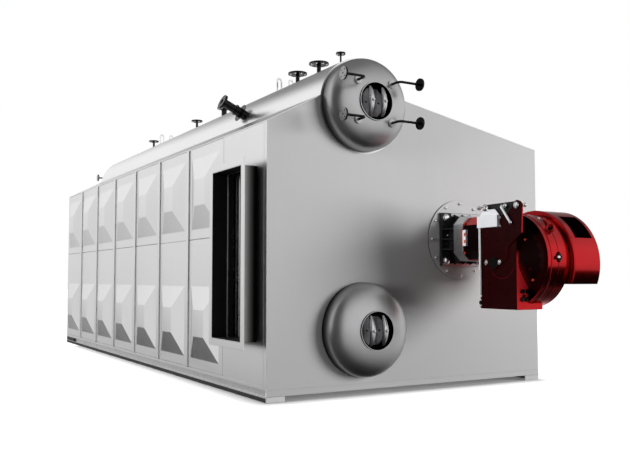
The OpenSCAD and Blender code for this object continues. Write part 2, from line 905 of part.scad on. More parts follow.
module feedwater_nozzle() {
    color("dimgray") place() difference() {
        feed_axis() {
            cylinder(r = feed_sleeve_r, h = feed_ring_at, $fn = curve_fn);
            cylinder(r = feed_pipe_r, h = feed_reach, $fn = curve_fn);
            translate([0, 0, feed_ring_at]) cylinder(r = feed_ring_r, h = feed_ring_t, $fn = curve_fn);
            translate([0, 0, feed_reach - feed_flange_t])
                cylinder(r = feed_flange_r, h = feed_flange_t, $fn = curve_fn);
        }
        rod_y(drum_r + seat, feed_y - feed_flange_r, feed_y + feed_flange_r, drum_x, upper_z);
        feed_axis() cylinder(r = feed_pipe_r * bore_share, h = feed_reach + cut, $fn = curve_fn);
        feed_axis() bolt_circle(feed_flange_r * pcd_share, small_hole_r, 8,
            feed_reach - feed_flange_t - cut, feed_reach + cut);
    }
}

module feedwater_collar() {
    color("gray") place() feed_axis() difference() {
        translate([0, 0, collar_at]) cylinder(r = collar_r, h = collar_t, $fn = curve_fn);
        cylinder(r = feed_sleeve_r + seat, h = feed_reach, $fn = curve_fn);
    }
}

module lug(x, y) {
    base = upper_z + sqrt(pow(jacket_r, 2) - pow(lug_dx + lug_w / 2, 2)) - lug_bar;
    top = top_z - lug_w / 2;
    translate([x, y, 0]) difference() {
        union() {
            box([-lug_w / 2, -lug_t / 2, base], [lug_w / 2, lug_t / 2, top]);
            rod_y(lug_w / 2, -lug_t / 2, lug_t / 2, 0, top);
        }
        box([-lug_w / 2 + lug_bar, -lug_t, base + 2 * lug_bar], [lug_w / 2 - lug_bar, lug_t, top]);
        rod_y(lug_w / 2 - lug_bar, -lug_t, lug_t, 0, top);
        translate([drum_x - x, 0, 0]) rod_y(jacket_r + seat, -lug_t, lug_t, 0, upper_z);
    }
}

module lifting_lugs() {
    color("silver") place() for (y = [lug_y1, lug_y2])
        for (s = [-1, 1]) lug(drum_x + s * lug_dx, y);
}

// Burner mounting

module on_burner() {
    translate([burner_x, 0, burner_z]) children();
}

module burner_plate() {
    color("silver") place() on_burner() rod_y(plate_r, -plate_t, 0, 0, 0);
}

module hex_head(r, from, h) {
    translate([0, -from, 0]) rotate([90, 0, 0]) linear_extrude(height = h) circle(r = r, $fn = 6);
}

module burner_bolts() {
    color("silver") place() on_burner() {
        for (i = [0 : plate_bolts - 1])
            translate([plate_pcd_r * cos(360 * i / plate_bolts), 0, plate_pcd_r * sin(360 * i / plate_bolts)])
                hex_head(bolt_r, plate_t, bolt_h);
        for (s = [-1, 1])
            for (v = [-1, 1])
                translate([s * big_bolt_at, 0, v * big_bolt_at])
                    hex_head(big_bolt_r, plate_t + square_t, big_bolt_h);
    }
}

module octagon(half, corner) {
    polygon([[-half, -half + corner], [-half + corner, -half], [half - corner, -half], [half, -half + corner],
        [half, half - corner], [half - corner, half], [-half + corner, half], [-half, half - corner]]);
}

module burner_flange() {
    y0 = plate_t + square_t;
    color("dimgray") place() on_burner() {
        box([-square_half, -y0, -square_half], [square_half, -plate_t, square_half]);
        along_y(-octagon_y, -y0) octagon(throat_half, octagon_cut);
        for (q = [0 : 3])
            rotate([0, 90 * q, 0])
                for (i = [-1 : 1])
                    translate([i * gusset_pitch - gusset_t / 2, 0, 0]) rotate([90, 0, 90])
                        linear_extrude(height = gusset_t)
                            polygon([[-octagon_y, 0], [-y0, 0], [-y0, square_half - gusset_t],
                                [-octagon_y, neck_half]]);
    }
}

module burner_frame() {
    color("silver") place() on_burner()
        along_y(-neck_y, -octagon_y) octagon(octagon_half, octagon_cut);
}

module fan_envelope(grow) {
    // Cone and rim of the fan casing, radius against distance along the fan axis.
    lean = fan_x - housing_x;
    tip = fan_r - fan_w - seam_d;
    translate([0, -fan_y, fan_z]) rotate([0, 90, 0]) rotate_extrude($fn = curve_fn) polygon([
        [0, housing_x - grow], [tip, housing_x - grow],
        [tip + lean + fan_rim_t, fan_x + fan_rim_t - grow],
        [fan_r - fan_rim_t - fan_rim_t, fan_x + fan_w / 2 - grow],
        [fan_r - fan_rim_t, fan_x + fan_w / 2 - grow], [fan_r - fan_rim_t, fan_x - grow],
        [fan_r + grow, fan_x - grow], [fan_r + grow, fan_x + fan_w + grow], [0, fan_x + fan_w + grow]]);
}

module burner_neck() {
    color("firebrick") place() difference() {
        on_burner() along_y(-housing_y, -neck_y) octagon(neck_half, octagon_cut);
        fan_cut();
        box([intake_x - seat, -intake_y, 0], [intake_x + intake_w, 0, burner_z + neck_half + cut]);
    }
}

module fan_cut() {
    fan_envelope(seat);
    rod_x(fan_r + seat, fan_x - seat, fan_x + fan_w + cut, -fan_y, fan_z);
}

module burner_housing() {
    color("firebrick") place() difference() {
        box([housing_x, -housing_front, housing_z], [housing_x + housing_w, -housing_y, housing_z + housing_h]);
        fan_cut();
    }
}

// Side plate outline as shares of the fan radius from the fan axis: toward the rear, up.
side_shares = [[0.61, 0.945], [0.61, 0.052], [0.215, -0.228], [-0.19, 0.034], [-0.215, 0.269],
    [-0.624, 0.557], [-0.654, 1.146], [-0.6, 1.21], [-0.497, 1.247], [-0.41, 1.21], [-0.374, 1.14],
    [-0.245, 0.998], [-0.069, 0.959]];
ear_share = [-0.51, 1.12];
plug_share = [0.18, -0.047];
screw_shares = [[0.406, -0.028], [0.006, -0.03]];

module side_at() {
    translate([housing_x, -fan_y, fan_z]) rotate([90, 0, 90]) children();
}

module burner_side_plate() {
    color("maroon") place() side_at() translate([0, 0, -side_t]) difference() {
        linear_extrude(height = side_t) polygon(side_shares * fan_r);
        translate([ear_share[0] * fan_r, ear_share[1] * fan_r, -cut])
            cylinder(r = ear_pin_r + seat, h = side_t + 2 * cut, $fn = small_fn);
    }
}

module fan_casing() {
    color("firebrick") place() difference() {
        fan_envelope(0);
        translate([0, -fan_y, fan_z]) rotate([0, 90, 0]) translate([0, 0, fan_x + fan_w / 2]) difference() {
            cylinder(r = fan_r + cut, h = seam_w, $fn = curve_fn);
            translate([0, 0, -cut]) cylinder(r = fan_r - seam_d, h = seam_w + 2 * cut, $fn = curve_fn);
        }
    }
}

module fan_spigot() {
    color("black") place() difference() {
        rod_x(spigot_r, fan_x + fan_w, intake_x + lip_r, -fan_y, fan_z);
        rod_x(spigot_r - fan_rim_t, fan_x + fan_w - cut, intake_x + lip_r + cut, -fan_y, fan_z);
    }
}

module air_intake() {
    color("firebrick") place() difference() {
        union() {
            rod_x(intake_r, intake_x + lip_r, intake_x + intake_w, -intake_y, intake_z);
            translate([intake_x, -intake_y, intake_z]) rotate([0, 90, 0]) rotate_extrude($fn = curve_fn) {
                translate([intake_r - lip_r, lip_r]) circle(r = lip_r, $fn = small_fn);
                square([intake_r - lip_r, lip_r]);
            }
        }
        rod_x(intake_r - intake_t, intake_x + intake_t + lip_r, intake_x + intake_w - intake_t,
            -intake_y, intake_z);
        rod_x(spigot_r + seat, intake_x - cut, intake_x + lip_r + intake_t + cut, -fan_y, fan_z);
        translate([intake_x - cut, -intake_y - intake_r - cut, intake_cut_z - 2 * intake_r])
            cube([intake_w + 2 * cut, 2 * intake_r + 2 * cut, 2 * intake_r]);
        intake_window();
    }
}

// Window in the intake's wall: angles from the front, and shares of its width.
window_angles = [27, 60];
window_share = [0.22, 0.885];

module intake_window() {
    translate([intake_x + window_share[0] * intake_w, -intake_y, intake_z]) rotate([0, 90, 0])
        rotate([0, 0, 270 - window_angles[1]])
            rotate_extrude(angle = window_angles[1] - window_angles[0], $fn = curve_fn)
                translate([intake_r - intake_t - cut, 0])
                    square([intake_t + 2 * cut, (window_share[1] - window_share[0]) * intake_w]);
}

// Burner controls

module control_box() {
    x1 = housing_x - side_t;
    x0 = x1 - bracket_t;
    y0 = -housing_y - box_l;
    z1 = box_top_z + box_h;
    color("white") place() {
        box([x0 - box_w, y0, box_top_z], [x0, -housing_y, z1]);
        translate([x0, 0, 0]) rotate([90, 0, 90]) linear_extrude(height = bracket_t)
            polygon([[y0, box_top_z], [-housing_y, box_top_z], [-housing_y, z1],
                [-housing_y - bracket_rise, z1 + bracket_rise], [y0 + bracket_rise, z1 + bracket_rise], [y0, z1]]);
    }
}

// Lever arm outline as shares of the fan radius from the fan axis: toward the rear, up.
arm_shares = [[0.5, 1.215], [-0.41, 1.225], [-0.59, 1.12], [-0.5, 1.02], [-0.3, 0.93], [0.02, 0.94],
    [0.29, 1.06], [0.5, 1.1]];

module lever_arm() {
    color("dimgray") place() side_at() translate([0, 0, seat]) difference() {
        linear_extrude(height = arm_t) polygon(arm_shares * fan_r);
        translate([ear_share[0] * fan_r, ear_share[1] * fan_r, -cut])
            cylinder(r = ear_pin_r + seat, h = arm_t + 2 * cut, $fn = small_fn);
    }
}

// Ends of the links as shares of the fan radius from the fan axis: toward the rear, up.
ball_shares = [[0.615, 1.16], [0.44, 1.175]];
handle_shares = [[-0.08, 1.15], [-0.34, 0.8]];

module link(from, to, r) {
    d = to - from;
    translate(from) rotate([0, 0, atan2(d[1], d[0])]) rotate([0, 90, 0]) cylinder(r = r, h = norm(d), $fn = small_fn);
}

module link_rods() {
    x = housing_x - side_t - rod_r - seat;
    between = (ball_shares[0] - ball_shares[1]) * fan_r;
    ball_gap = between * (ball_r + seat) / norm(between);
    color("silver") place() {
        rod_z(rod_r, housing_z + housing_h / 6, box_top_z - seat, x, -housing_y - 2 * rod_r);
        side_at() translate(concat(ear_share * fan_r, -side_t - arm_t))
            cylinder(r = ear_pin_r, h = side_t + 3 * arm_t, $fn = small_fn);
        side_at() translate([0, 0, -ball_r - seat]) {
            for (p = ball_shares) translate(p * fan_r) sphere(r = ball_r, $fn = small_fn);
            link(ball_shares[0] * fan_r - ball_gap, ball_shares[1] * fan_r + ball_gap, rod_r);
        }
        side_at() translate([0, 0, -side_t - rod_r - seat]) {
            link(handle_shares[0] * fan_r, handle_shares[1] * fan_r, rod_r);
            for (p = handle_shares) translate(p * fan_r) sphere(r = 2 * rod_r - seat, $fn = small_fn);
            translate(handle_shares[0] * fan_r) cylinder(r = rod_r, h = side_t + rod_r + seat, $fn = small_fn);
        }
    }
}

// Cable glands as shares of the front panel's width and height.
gland_shares = [[0.19, 0.22], [0.385, 0.22], [0.19, 0.125], [0.36, 0.125]];

module cable_glands() {
    color("black") place() for (p = gland_shares)
        translate([housing_x + p[0] * housing_w, -housing_front - gland_d, housing_z + p[1] * housing_h])
            rotate([-90, 0, 0]) cylinder(r = gland_w / 2, h = gland_d, $fn = small_fn);
}

module side_plate_fasteners() {
    color("silver") place() side_at() translate([0, 0, -side_t - screw_h]) {
        for (p = screw_shares) translate(p * fan_r) cylinder(r = screw_r, h = screw_h, $fn = small_fn);
        translate(plug_share * fan_r) cylinder(r = plug_r, h = screw_h, $fn = small_fn);
    }
}

module fan_fittings() {
    x = fan_x + fan_w / 2;
    color("black") place() {
        difference() {
            translate([x, -fan_y - fan_r + latch_d, fan_z + latch_h / 4]) rotate([90, 0, 0])
                linear_extrude(height = 2 * latch_d)
                    polygon([[-latch_w / 2, 0], [0, -latch_h / 2], [latch_w / 2, 0], [0, latch_h / 2]]);
            rod_x(fan_r + seat, x - latch_w, x + latch_w, -fan_y, fan_z);
        }
        translate([x, -fan_y, fan_z]) rotate([eye_angle, 0, 0]) translate([0, -fan_r - eye_r, 0]) {
            rotate([0, 90, 0]) rotate_extrude($fn = small_fn)
                translate([eye_r - rod_r, 0]) circle(r = rod_r, $fn = small_fn);
            difference() {
                rod_y(rod_r, 0, eye_r, 0, 0);
                rod_x(eye_r - rod_r, -rod_r, rod_r, 0, 0);
                translate([0, eye_r + fan_r, 0]) rod_x(fan_r + seat, -eye_r, eye_r, 0, 0);
            }
        }
    }
}

module terminal_block() {
    color("white") place() on_burner()
        box([-neck_half - block_t, -neck_y - block_w, -block_h / 2], [-neck_half, -neck_y, block_h / 2]);
}

skid_channels();
skid_runners();
end_beams();
corner_feet();
floor_plate();
front_wall();
rear_wall();
left_wall();
right_wall();
roof_sheets();
base_rails();
front_bay_skins();
left_panels();
right_panels();
panel_battens();
flue_outlet();
boiler_tubes();
upper_drum();
drum_jacket();
upper_heads();
lower_drum();
lower_heads();
manhole_rims();
manhole_covers();
cover_yokes();
gauge_pads();
gauge_pipes();
safety_nozzles();
service_nozzles();
feedwater_nozzle();
feedwater_collar();
lifting_lugs();
burner_plate();
burner_flange();
burner_bolts();
burner_frame();
burner_neck();
burner_housing();
burner_side_plate();
side_plate_fasteners();
fan_casing();
fan_fittings();
fan_spigot();
air_intake();
control_box();
lever_arm();
link_rods();
cable_glands();
terminal_block();
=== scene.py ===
"""Looks of a packaged water-tube boiler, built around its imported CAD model.

Metres, +Z up, the burner faces -Y. Lengths are written in millimetres and measured from
the casing's front left corner at ground level, as a fitter would take them on site.
"""

import math

import bmesh
import bpy
from mathutils import Matrix, Vector


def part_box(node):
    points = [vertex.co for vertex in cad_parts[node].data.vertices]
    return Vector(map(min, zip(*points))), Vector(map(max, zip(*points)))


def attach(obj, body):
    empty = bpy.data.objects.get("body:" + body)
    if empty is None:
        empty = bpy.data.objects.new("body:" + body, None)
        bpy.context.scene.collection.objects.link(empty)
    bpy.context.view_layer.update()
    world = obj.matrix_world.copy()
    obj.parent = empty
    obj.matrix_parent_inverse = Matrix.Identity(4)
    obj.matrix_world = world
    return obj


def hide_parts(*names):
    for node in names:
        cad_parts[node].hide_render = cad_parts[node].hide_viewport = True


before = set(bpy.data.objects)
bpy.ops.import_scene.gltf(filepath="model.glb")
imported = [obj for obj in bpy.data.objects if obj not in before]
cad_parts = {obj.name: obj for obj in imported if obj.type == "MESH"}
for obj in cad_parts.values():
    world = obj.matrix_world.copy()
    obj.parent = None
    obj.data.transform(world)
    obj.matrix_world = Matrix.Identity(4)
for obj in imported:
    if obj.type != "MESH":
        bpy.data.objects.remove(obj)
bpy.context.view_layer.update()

MM = 0.001
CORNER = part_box("front_wall")[0]
CORNER.z = 0.0


def at(x, y, z):
    """A point given in millimetres from the casing's corner, in the shared frame."""
    return Vector((CORNER.x + x * MM, CORNER.y + y * MM, z * MM))


def linear(hex_colour):
    """The linear colour a shader takes for an sRGB hex value."""
    channels = [int(hex_colour[i : i + 2], 16) / 255 for i in (1, 3, 5)]
    return tuple(c / 12.92 if c <= 0.04045 else ((c + 0.055) / 1.055) ** 2.4 for c in channels) + (1.0,)


def add(tree, kind, inputs=None, **settings):
    """Adds one node. Settings are its properties; inputs are values or other nodes' outputs."""
    node = tree.nodes.new(kind)
    for key, value in settings.items():
        setattr(node, key, value)
    for key, value in (inputs or {}).items():
        if isinstance(value, bpy.types.NodeSocket):
            tree.links.new(value, node.inputs[key])
        else:
            node.inputs[key].default_value = value
    return node


# Noise values at a cloud's edge and heart, how far its share moves the edge, and its least strength.
CLOUD_EDGE = 0.62
CLOUD_HEART = 0.78
CLOUD_SPREAD = 0.4
CLOUD_STRENGTH = 0.3
# Size in mm of the patches over which a surface's gloss wanders.
GLOSS_PATCH = 90


def finish(name, base, roughness, metallic=0.0, clouds=(), grain=None, uneven=0.0, **sockets):
    """A surface: a base colour under soft clouds of other colours, a fine grain and an uneven gloss.

    clouds: (size in mm, hex colour, share covered from 0 to 1, stretch of the pattern in x, y, z).
    grain: (size in mm, depth in mm), drawn coarser than the real grain of under 1 mm, which would not show.
    uneven: how far the roughness wanders either way.
    """
    material = bpy.data.materials.new(name)
    material.use_nodes = True
    tree = material.node_tree
    shader = tree.nodes["Principled BSDF"]
    shader.inputs["Roughness"].default_value = roughness
    shader.inputs["Metallic"].default_value = metallic
    shader.inputs["Base Color"].default_value = linear(base)
    for key, value in sockets.items():
        shader.inputs[key.replace("_", " ").title().replace("Ior", "IOR")].default_value = value
    place = add(tree, "ShaderNodeTexCoord").outputs["Object"]
    colour = linear(base)
    for size, tint, share, stretch in clouds:
        spread = add(tree, "ShaderNodeMapping", {"Vector": place, "Scale": stretch})
        noise = add(
            tree, "ShaderNodeTexNoise",
            {"Vector": spread.outputs[0], "Scale": 1000 / size, "Detail": 4.0, "Roughness": 0.55},
        )
        amount = add(
            tree, "ShaderNodeMapRange",
            {"Value": noise.outputs["Fac"], "From Min": CLOUD_EDGE - share * CLOUD_SPREAD, "From Max": CLOUD_HEART,
             "To Max": min(1.0, CLOUD_STRENGTH + share)},
        )
        mix = add(
            tree, "ShaderNodeMix",
            {"Factor": amount.outputs[0], 6: colour, 7: linear(tint)}, data_type="RGBA",
        )
        colour = mix.outputs[2]
        tree.links.new(colour, shader.inputs["Base Color"])
    if uneven:
        noise = add(tree, "ShaderNodeTexNoise", {"Vector": place, "Scale": 1000 / GLOSS_PATCH, "Detail": 3.0})
        gloss = add(
            tree, "ShaderNodeMapRange",
            {"Value": noise.outputs["Fac"], "From Min": 0.3, "From Max": 0.7,
             "To Min": roughness - uneven, "To Max": roughness + uneven},
        )
        tree.links.new(gloss.outputs[0], shader.inputs["Roughness"])
    if grain:
        noise = add(tree, "ShaderNodeTexNoise", {"Vector": place, "Scale": 1000 / grain[0], "Detail": 2.0})
        depth = {"Height": noise.outputs["Fac"], "Distance": grain[1] * MM, "Strength": 1.0}
        bump = add(tree, "ShaderNodeBump", depth)
        tree.links.new(bump.outputs[0], shader.inputs["Normal"])
    return material


def shade_along(material, way, start, end, tint, ease="LINEAR"):
    """Tints a surface up to one distance (m) from the middle along a direction, fading out by another."""
    tree = material.node_tree
    shader = tree.nodes["Principled BSDF"]
    under = shader.inputs["Base Color"].links[0].from_socket
    place = add(tree, "ShaderNodeTexCoord").outputs["Object"]
    along = add(tree, "ShaderNodeVectorMath", {0: place, 1: way}, operation="DOT_PRODUCT").outputs["Value"]
    out = add(tree, "ShaderNodeMath", {0: along}, operation="ABSOLUTE").outputs[0]
    limits = {"Value": out, "From Min": start, "From Max": end}
    clear = add(tree, "ShaderNodeMapRange", limits, interpolation_type=ease).outputs[0]
    mix = add(tree, "ShaderNodeMix", {"Factor": clear, 6: linear(tint), 7: under}, data_type="RGBA")
    tree.links.new(mix.outputs[2], shader.inputs["Base Color"])


# Finishes

# How a cloud pattern is stretched: not at all, down the height, or along the boiler.
EVEN = (1.0, 1.0, 1.0)
UPRIGHT = (1.0, 1.0, 0.25)
LENGTHWISE = (1.0, 0.4, 1.0)

# Zinc-coated cladding sheet: a satin mirror that takes the tone of what it faces, faintly clouded.
casing_sheet = finish(
    "casing_zinc_sheet_satin", "#E8E8E8", roughness=0.3, metallic=1.0,
    clouds=[(900, "#E2E2E3", 0.4, UPRIGHT), (220, "#E8E8E7", 0.25, UPRIGHT)], grain=(3.0, 0.001), uneven=0.02,
)
# Light grey paint on the flat end walls: satin, an even tone that hardly changes with the angle.
wall_paint = finish(
    "end_wall_paint_satin", "#D8D8D8", roughness=0.5,
    clouds=[(1200, "#D2D2D3", 0.45, UPRIGHT), (260, "#DADAD9", 0.2, UPRIGHT)], grain=(3.0, 0.004), uneven=0.02,
)
# Painted shade: the end walls are darkened towards the ground, where less light reaches them near the floor.
shade_along(wall_paint, (0, 0, 1), start=0.1, end=1.7, tint="#C6C6C6")
# Zinc-plated trim strip: a shade darker than the sheet beside it, and clouded.
trim_metal = finish(
    "trim_strip_zinc_satin", "#D2D2D2", roughness=0.3, metallic=1.0,
    clouds=[(400, "#C6C6C6", 0.3, UPRIGHT)], uneven=0.04,
)
# Duct plate, dulled by hot gas: a greyer mirror than the casing.
duct_steel = finish(
    "flue_duct_dulled_steel", "#B4B3B2", roughness=0.34, metallic=1.0,
    clouds=[(500, "#A2A1A0", 0.4, UPRIGHT)], uneven=0.04,
)
# Painted shade: it is darkened to nearly black against the casing, in the corner where the duct meets the wall and
# shade falls.
shade_along(duct_steel, (1, 0, 0), start=1.765, end=1.9, tint="#151515")
# Dull black on the runners, painted shade: they fill the dark strip under the skids where the gap lies in shade,
# with grey dust caught on it.
runner_black = finish(
    "runner_black_dull", "#101010", roughness=0.6, clouds=[(120, "#2A2927", 0.35, EVEN)], grain=(6.0, 0.1),
)
# Rolled jacket sheet over the drum: smooth, light, softly mirrored.
jacket_sheet = finish(
    "drum_jacket_sheet_satin", "#EEEEEE", roughness=0.28, metallic=1.0,
    clouds=[(1500, "#E6E6E7", 0.3, LENGTHWISE)],
)
# Dished head of boiler plate, descaled and oiled: grey metal with a broad soft shine.
head_steel = finish(
    "dished_head_oiled_steel", "#BDBDBE", roughness=0.36, metallic=1.0,
    clouds=[(300, "#B4B4B5", 0.3, EVEN)], uneven=0.02,
)
# Painted shade: the heads are darkened towards the wall, where they stand in its shade.
shade_along(head_steel, (0, 1, 0), start=3.655, end=3.79, tint="#1C1C1D")
# Turned bright steel: nuts, bolts, lugs and rods that glint white.
bright_steel = finish(
    "bright_turned_steel", "#EDEDED", roughness=0.2, metallic=1.0,
    clouds=[(40, "#D9D9D9", 0.35, EVEN)], uneven=0.05,
)
# Pipework in mill scale and oil: near black with a hard shine.
pipe_steel = finish(
    "pipe_mill_scale_steel", "#2D2D2E", roughness=0.3, metallic=1.0,
    clouds=[(60, "#1A1A1B", 0.5, EVEN)], uneven=0.06,
)
# Boiler tubes: bright-drawn steel, lightly smoked, with a stripe of light down each.
tube_steel = finish(
    "boiler_tube_smoked_steel", "#C2C2C2", roughness=0.3, metallic=1.0,
    clouds=[(90, "#9A9A9A", 0.4, UPRIGHT)], uneven=0.05,
)
# Soot on the sheet inside the flue: dead black, a little brown in patches.
flue_soot = finish(
    "flue_lining_soot", "#0B0B0B", roughness=0.8, clouds=[(200, "#1C1B1A", 0.4, EVEN)], grain=(4.0, 0.2),
)
# Cast aluminium of the burner's head, machined: pale, with a soft sheen and cloudy patches.
burner_grey = finish(
    "burner_head_cast_aluminium", "#D0D0D2", roughness=0.34, metallic=1.0,
    clouds=[(70, "#B2B2B4", 0.4, EVEN)], uneven=0.05,
)
# Cast iron of the ribbed flange and the lever, under dull black paint: grainy from the sand mould.
burner_iron = finish(
    "burner_flange_painted_cast_iron", "#121213", roughness=0.45,
    clouds=[(40, "#1E1E20", 0.4, EVEN)], grain=(2.5, 0.15),
)
# Red flake lacquer on the burner: metal flakes that mirror the studio in deep red, under a thin clear coat.
burner_red = finish(
    "burner_red_flake_lacquer", "#BC1A1F", roughness=0.2, metallic=1.0,
    clouds=[(260, "#B5181D", 0.4, EVEN)], grain=(4.0, 0.002), uneven=0.02, coat_weight=0.15, coat_roughness=0.08,
)
# Painted light and shade on the housing's face behind the drum: the red lacquer, rougher, painted black-red above
# as shade and a bright red low down as light.
face_painted_light_and_shade = finish(
    "burner_face_painted_light_and_shade", "#1E0305", roughness=0.62, metallic=1.0,
    clouds=[(160, "#180203", 0.4, EVEN)], uneven=0.03,
)
shade_along(face_painted_light_and_shade, (0, 0, 1), start=1.38, end=1.46, tint="#F0383E")
# Painted shade: the burner's red lacquer as a nearly black red, with hardly any shine, on the housing's side and
# its plate, which are turned from the light.
burner_red_painted_shade = finish(
    "burner_red_painted_shade_lacquer", "#260305", roughness=0.3,
    clouds=[(160, "#1E0304", 0.4, EVEN)], grain=(4.0, 0.002), uneven=0.03, specular_ior_level=0.06,
)
# Forged steel of the yokes: a soft bright stripe down each one's bow.
yoke_steel = finish(
    "forged_yoke_steel", "#D2D2D4", roughness=0.28, metallic=1.0,
    clouds=[(60, "#A4A4A6", 0.4, EVEN)], uneven=0.05,
)
# Pressed steel of the covers behind them: duller and darker than the yokes.
cover_steel = finish(
    "manhole_cover_oiled_steel", "#6E6E70", roughness=0.42, metallic=1.0,
    clouds=[(70, "#4C4C4E", 0.5, EVEN)], uneven=0.06,
)
# Painted shade inside the manholes: almost black steel, with no clear reflection, standing in for the shade down
# the necks.
manhole_painted_shade = finish(
    "manhole_neck_painted_shade", "#161617", roughness=0.5, metallic=1.0, clouds=[(80, "#222223", 0.3, EVEN)],
)
# Turned faces of the gauge flanges: much brighter than their pipes. Painted light: only the flanges on the left,
# which catch the light, take it; those on the right keep the pipes' dark steel.
flange_bright = finish(
    "gauge_flange_turned_steel", "#969697", roughness=0.22, metallic=1.0,
    clouds=[(30, "#979798", 0.4, EVEN)], uneven=0.05,
)
# Moulded ABS of the control box: white, faintly cool.
box_plastic = finish(
    "control_box_white_abs", "#FAFBFF", roughness=0.38,
    clouds=[(90, "#F0F1F8", 0.3, EVEN)], grain=(1.2, 0.02), coat_weight=0.2,
)
# Moulded black nylon of the glands, the caps and the plugs: dull, without a highlight. The same black is painted
# shade on the round plate's edge and in the fan's eye.
nylon_and_painted_shade = finish(
    "black_nylon_and_painted_shade", "#060607", roughness=0.42,
    clouds=[(20, "#101011", 0.3, EVEN)], grain=(1.0, 0.03), specular_ior_level=0.15,
)
# Painted shade and light on the fan's inlet cone: its red lacquer is painted black-red as shade, turning to a
# painted lit red low down beside the housing.
cone_painted_shade_and_light = finish(
    "fan_cone_painted_shade_and_light", "#140203", roughness=0.3,
    clouds=[(120, "#0E0102", 0.4, EVEN)], specular_ior_level=0.03,
)
shade_along(cone_painted_shade_and_light, (1, 0, 0.5), start=0.93, end=1.1, tint="#AC1C20", ease="SMOOTHERSTEP")
# Painted shade: the red lacquer as almost black on the neck's sides behind the burner's housing, which are turned
# from the light.
neck_painted_shade = finish(
    "burner_neck_painted_shade", "#0C0102", roughness=0.35,
    clouds=[(120, "#080001", 0.4, EVEN)], specular_ior_level=0.05,
)
# Orange lacquer on the earth bolts and the terminals: small warm dots.
terminal_orange = finish(
    "terminal_orange_lacquer", "#C8431C", roughness=0.35, clouds=[(12, "#B93A18", 0.3, EVEN)],
)
# Chrome on the burner's screws and knobs: a hard mirror that glints white against black.
chrome = finish("burner_screw_chrome", "#F4F4F4", roughness=0.12, metallic=1.0, clouds=[(30, "#EAEAEA", 0.2, EVEN)])
# Matt light grey paint on the battens' front sides: pale, so each seam has a thin light line.
batten_paint = finish("batten_side_paint_matt", "#DADADA", roughness=0.5, clouds=[(400, "#D0D0D0", 0.3, UPRIGHT)])

NODE_FINISH = {
    casing_sheet: [
        "left_wall", "panel_battens", "front_bay_skins", "left_panels", "right_panels", "right_wall", "roof_sheets",
        "base_rails",
    ],
    duct_steel: ["flue_outlet"],
    wall_paint: ["front_wall", "rear_wall", "end_beams", "burner_plate"],
    trim_metal: ["corner_feet", "skid_channels", "floor_plate"],
    runner_black: ["skid_runners", "fan_spigot"],
    jacket_sheet: ["drum_jacket"],
    head_steel: ["upper_drum", "lower_drum", "upper_heads", "lower_heads", "gauge_pads", "manhole_rims"],
    yoke_steel: ["cover_yokes"],
    cover_steel: ["manhole_covers"],
    bright_steel: ["lifting_lugs", "burner_bolts", "side_plate_fasteners", "link_rods"],
    pipe_steel: ["gauge_pipes", "safety_nozzles", "service_nozzles", "feedwater_nozzle", "feedwater_collar"],
    tube_steel: ["boiler_tubes"],
    burner_grey: ["burner_frame"],
    burner_iron: ["burner_flange", "lever_arm"],
    burner_red: ["burner_neck", "fan_casing", "air_intake", "burner_housing"],
    burner_red_painted_shade: ["burner_side_plate"],
    box_plastic: ["control_box", "terminal_block"],
    nylon_and_painted_shade: ["cable_glands", "fan_fittings"],
}
# Each CAD node's finish, which its part takes.
finish_of = {node: material for material, nodes in NODE_FINISH.items() for node in nodes}
for node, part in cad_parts.items():
    part.data.materials.clear()
    part.data.materials.append(finish_of[node])


# Shaping

# Points closer than this (m) are one point, and faces that meet at less than this (degrees) are one face.
SAME_POINT = 2e-5
SAME_PLANE = 0.6


def softened(node, edge, corner=12, smooth=12, segments=2):
    """The node's own shape with its edges eased by that many millimetres, and its curves smooth."""
    shape = bmesh.new()
    shape.from_mesh(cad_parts[node].data)
    bmesh.ops.remove_doubles(shape, verts=shape.verts, dist=SAME_POINT)
    bmesh.ops.dissolve_limit(shape, angle_limit=math.radians(SAME_PLANE), verts=shape.verts, edges=shape.edges)
    mesh = bpy.data.meshes.new(node + "_eased")
    shape.to_mesh(mesh)
    shape.free()
    mesh.materials.append(finish_of[node])
    mesh.shade_smooth()
    mesh.set_sharp_from_angle(angle=math.radians(smooth))
    piece = bpy.data.objects.new(node + "_eased", mesh)
    bpy.context.scene.collection.objects.link(piece)
    bevel = piece.modifiers.new("eased_edges", "BEVEL")
    bevel.width = edge * MM
    bevel.segments = segments
    bevel.limit_method = "ANGLE"
    bevel.angle_limit = math.radians(corner)
    bevel.harden_normals = True
    bevel.use_clamp_overlap = True
    return dressed(piece, node)


def dressed(piece, *nodes):
    """The piece rides with the boiler and stands for these CAD nodes, if any, which it hides."""
    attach(piece, "root")
    if nodes:
        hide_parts(*nodes)
    return piece


def repaint(piece, material, chosen):
    """Another finish for the faces that chosen(centre in mm from the corner, normal) picks."""
    piece.data.materials.append(material)
    index = len(piece.data.materials) - 1
    for face in piece.data.polygons:
        centre = (face.center - CORNER) / MM
        if chosen(centre, face.normal):
            face.material_index = index


def solid_of(name, verts, faces, material, crease=30):
    """A closed shape from points and faces, its faces outward, smooth except at creases (degrees)."""
    shape = bmesh.new()
    points = [shape.verts.new(v) for v in verts]
    for face in faces:
        shape.faces.new([points[i] for i in face])
    bmesh.ops.remove_doubles(shape, verts=shape.verts, dist=1e-5)
    bmesh.ops.recalc_face_normals(shape, faces=shape.faces)
    mesh = bpy.data.meshes.new(name)
    shape.to_mesh(mesh)
    shape.free()
    mesh.materials.append(material)
    mesh.shade_smooth()
    mesh.set_sharp_from_angle(angle=math.radians(crease))
    piece = bpy.data.objects.new(name, mesh)
    bpy.context.scene.collection.objects.link(piece)
    return piece


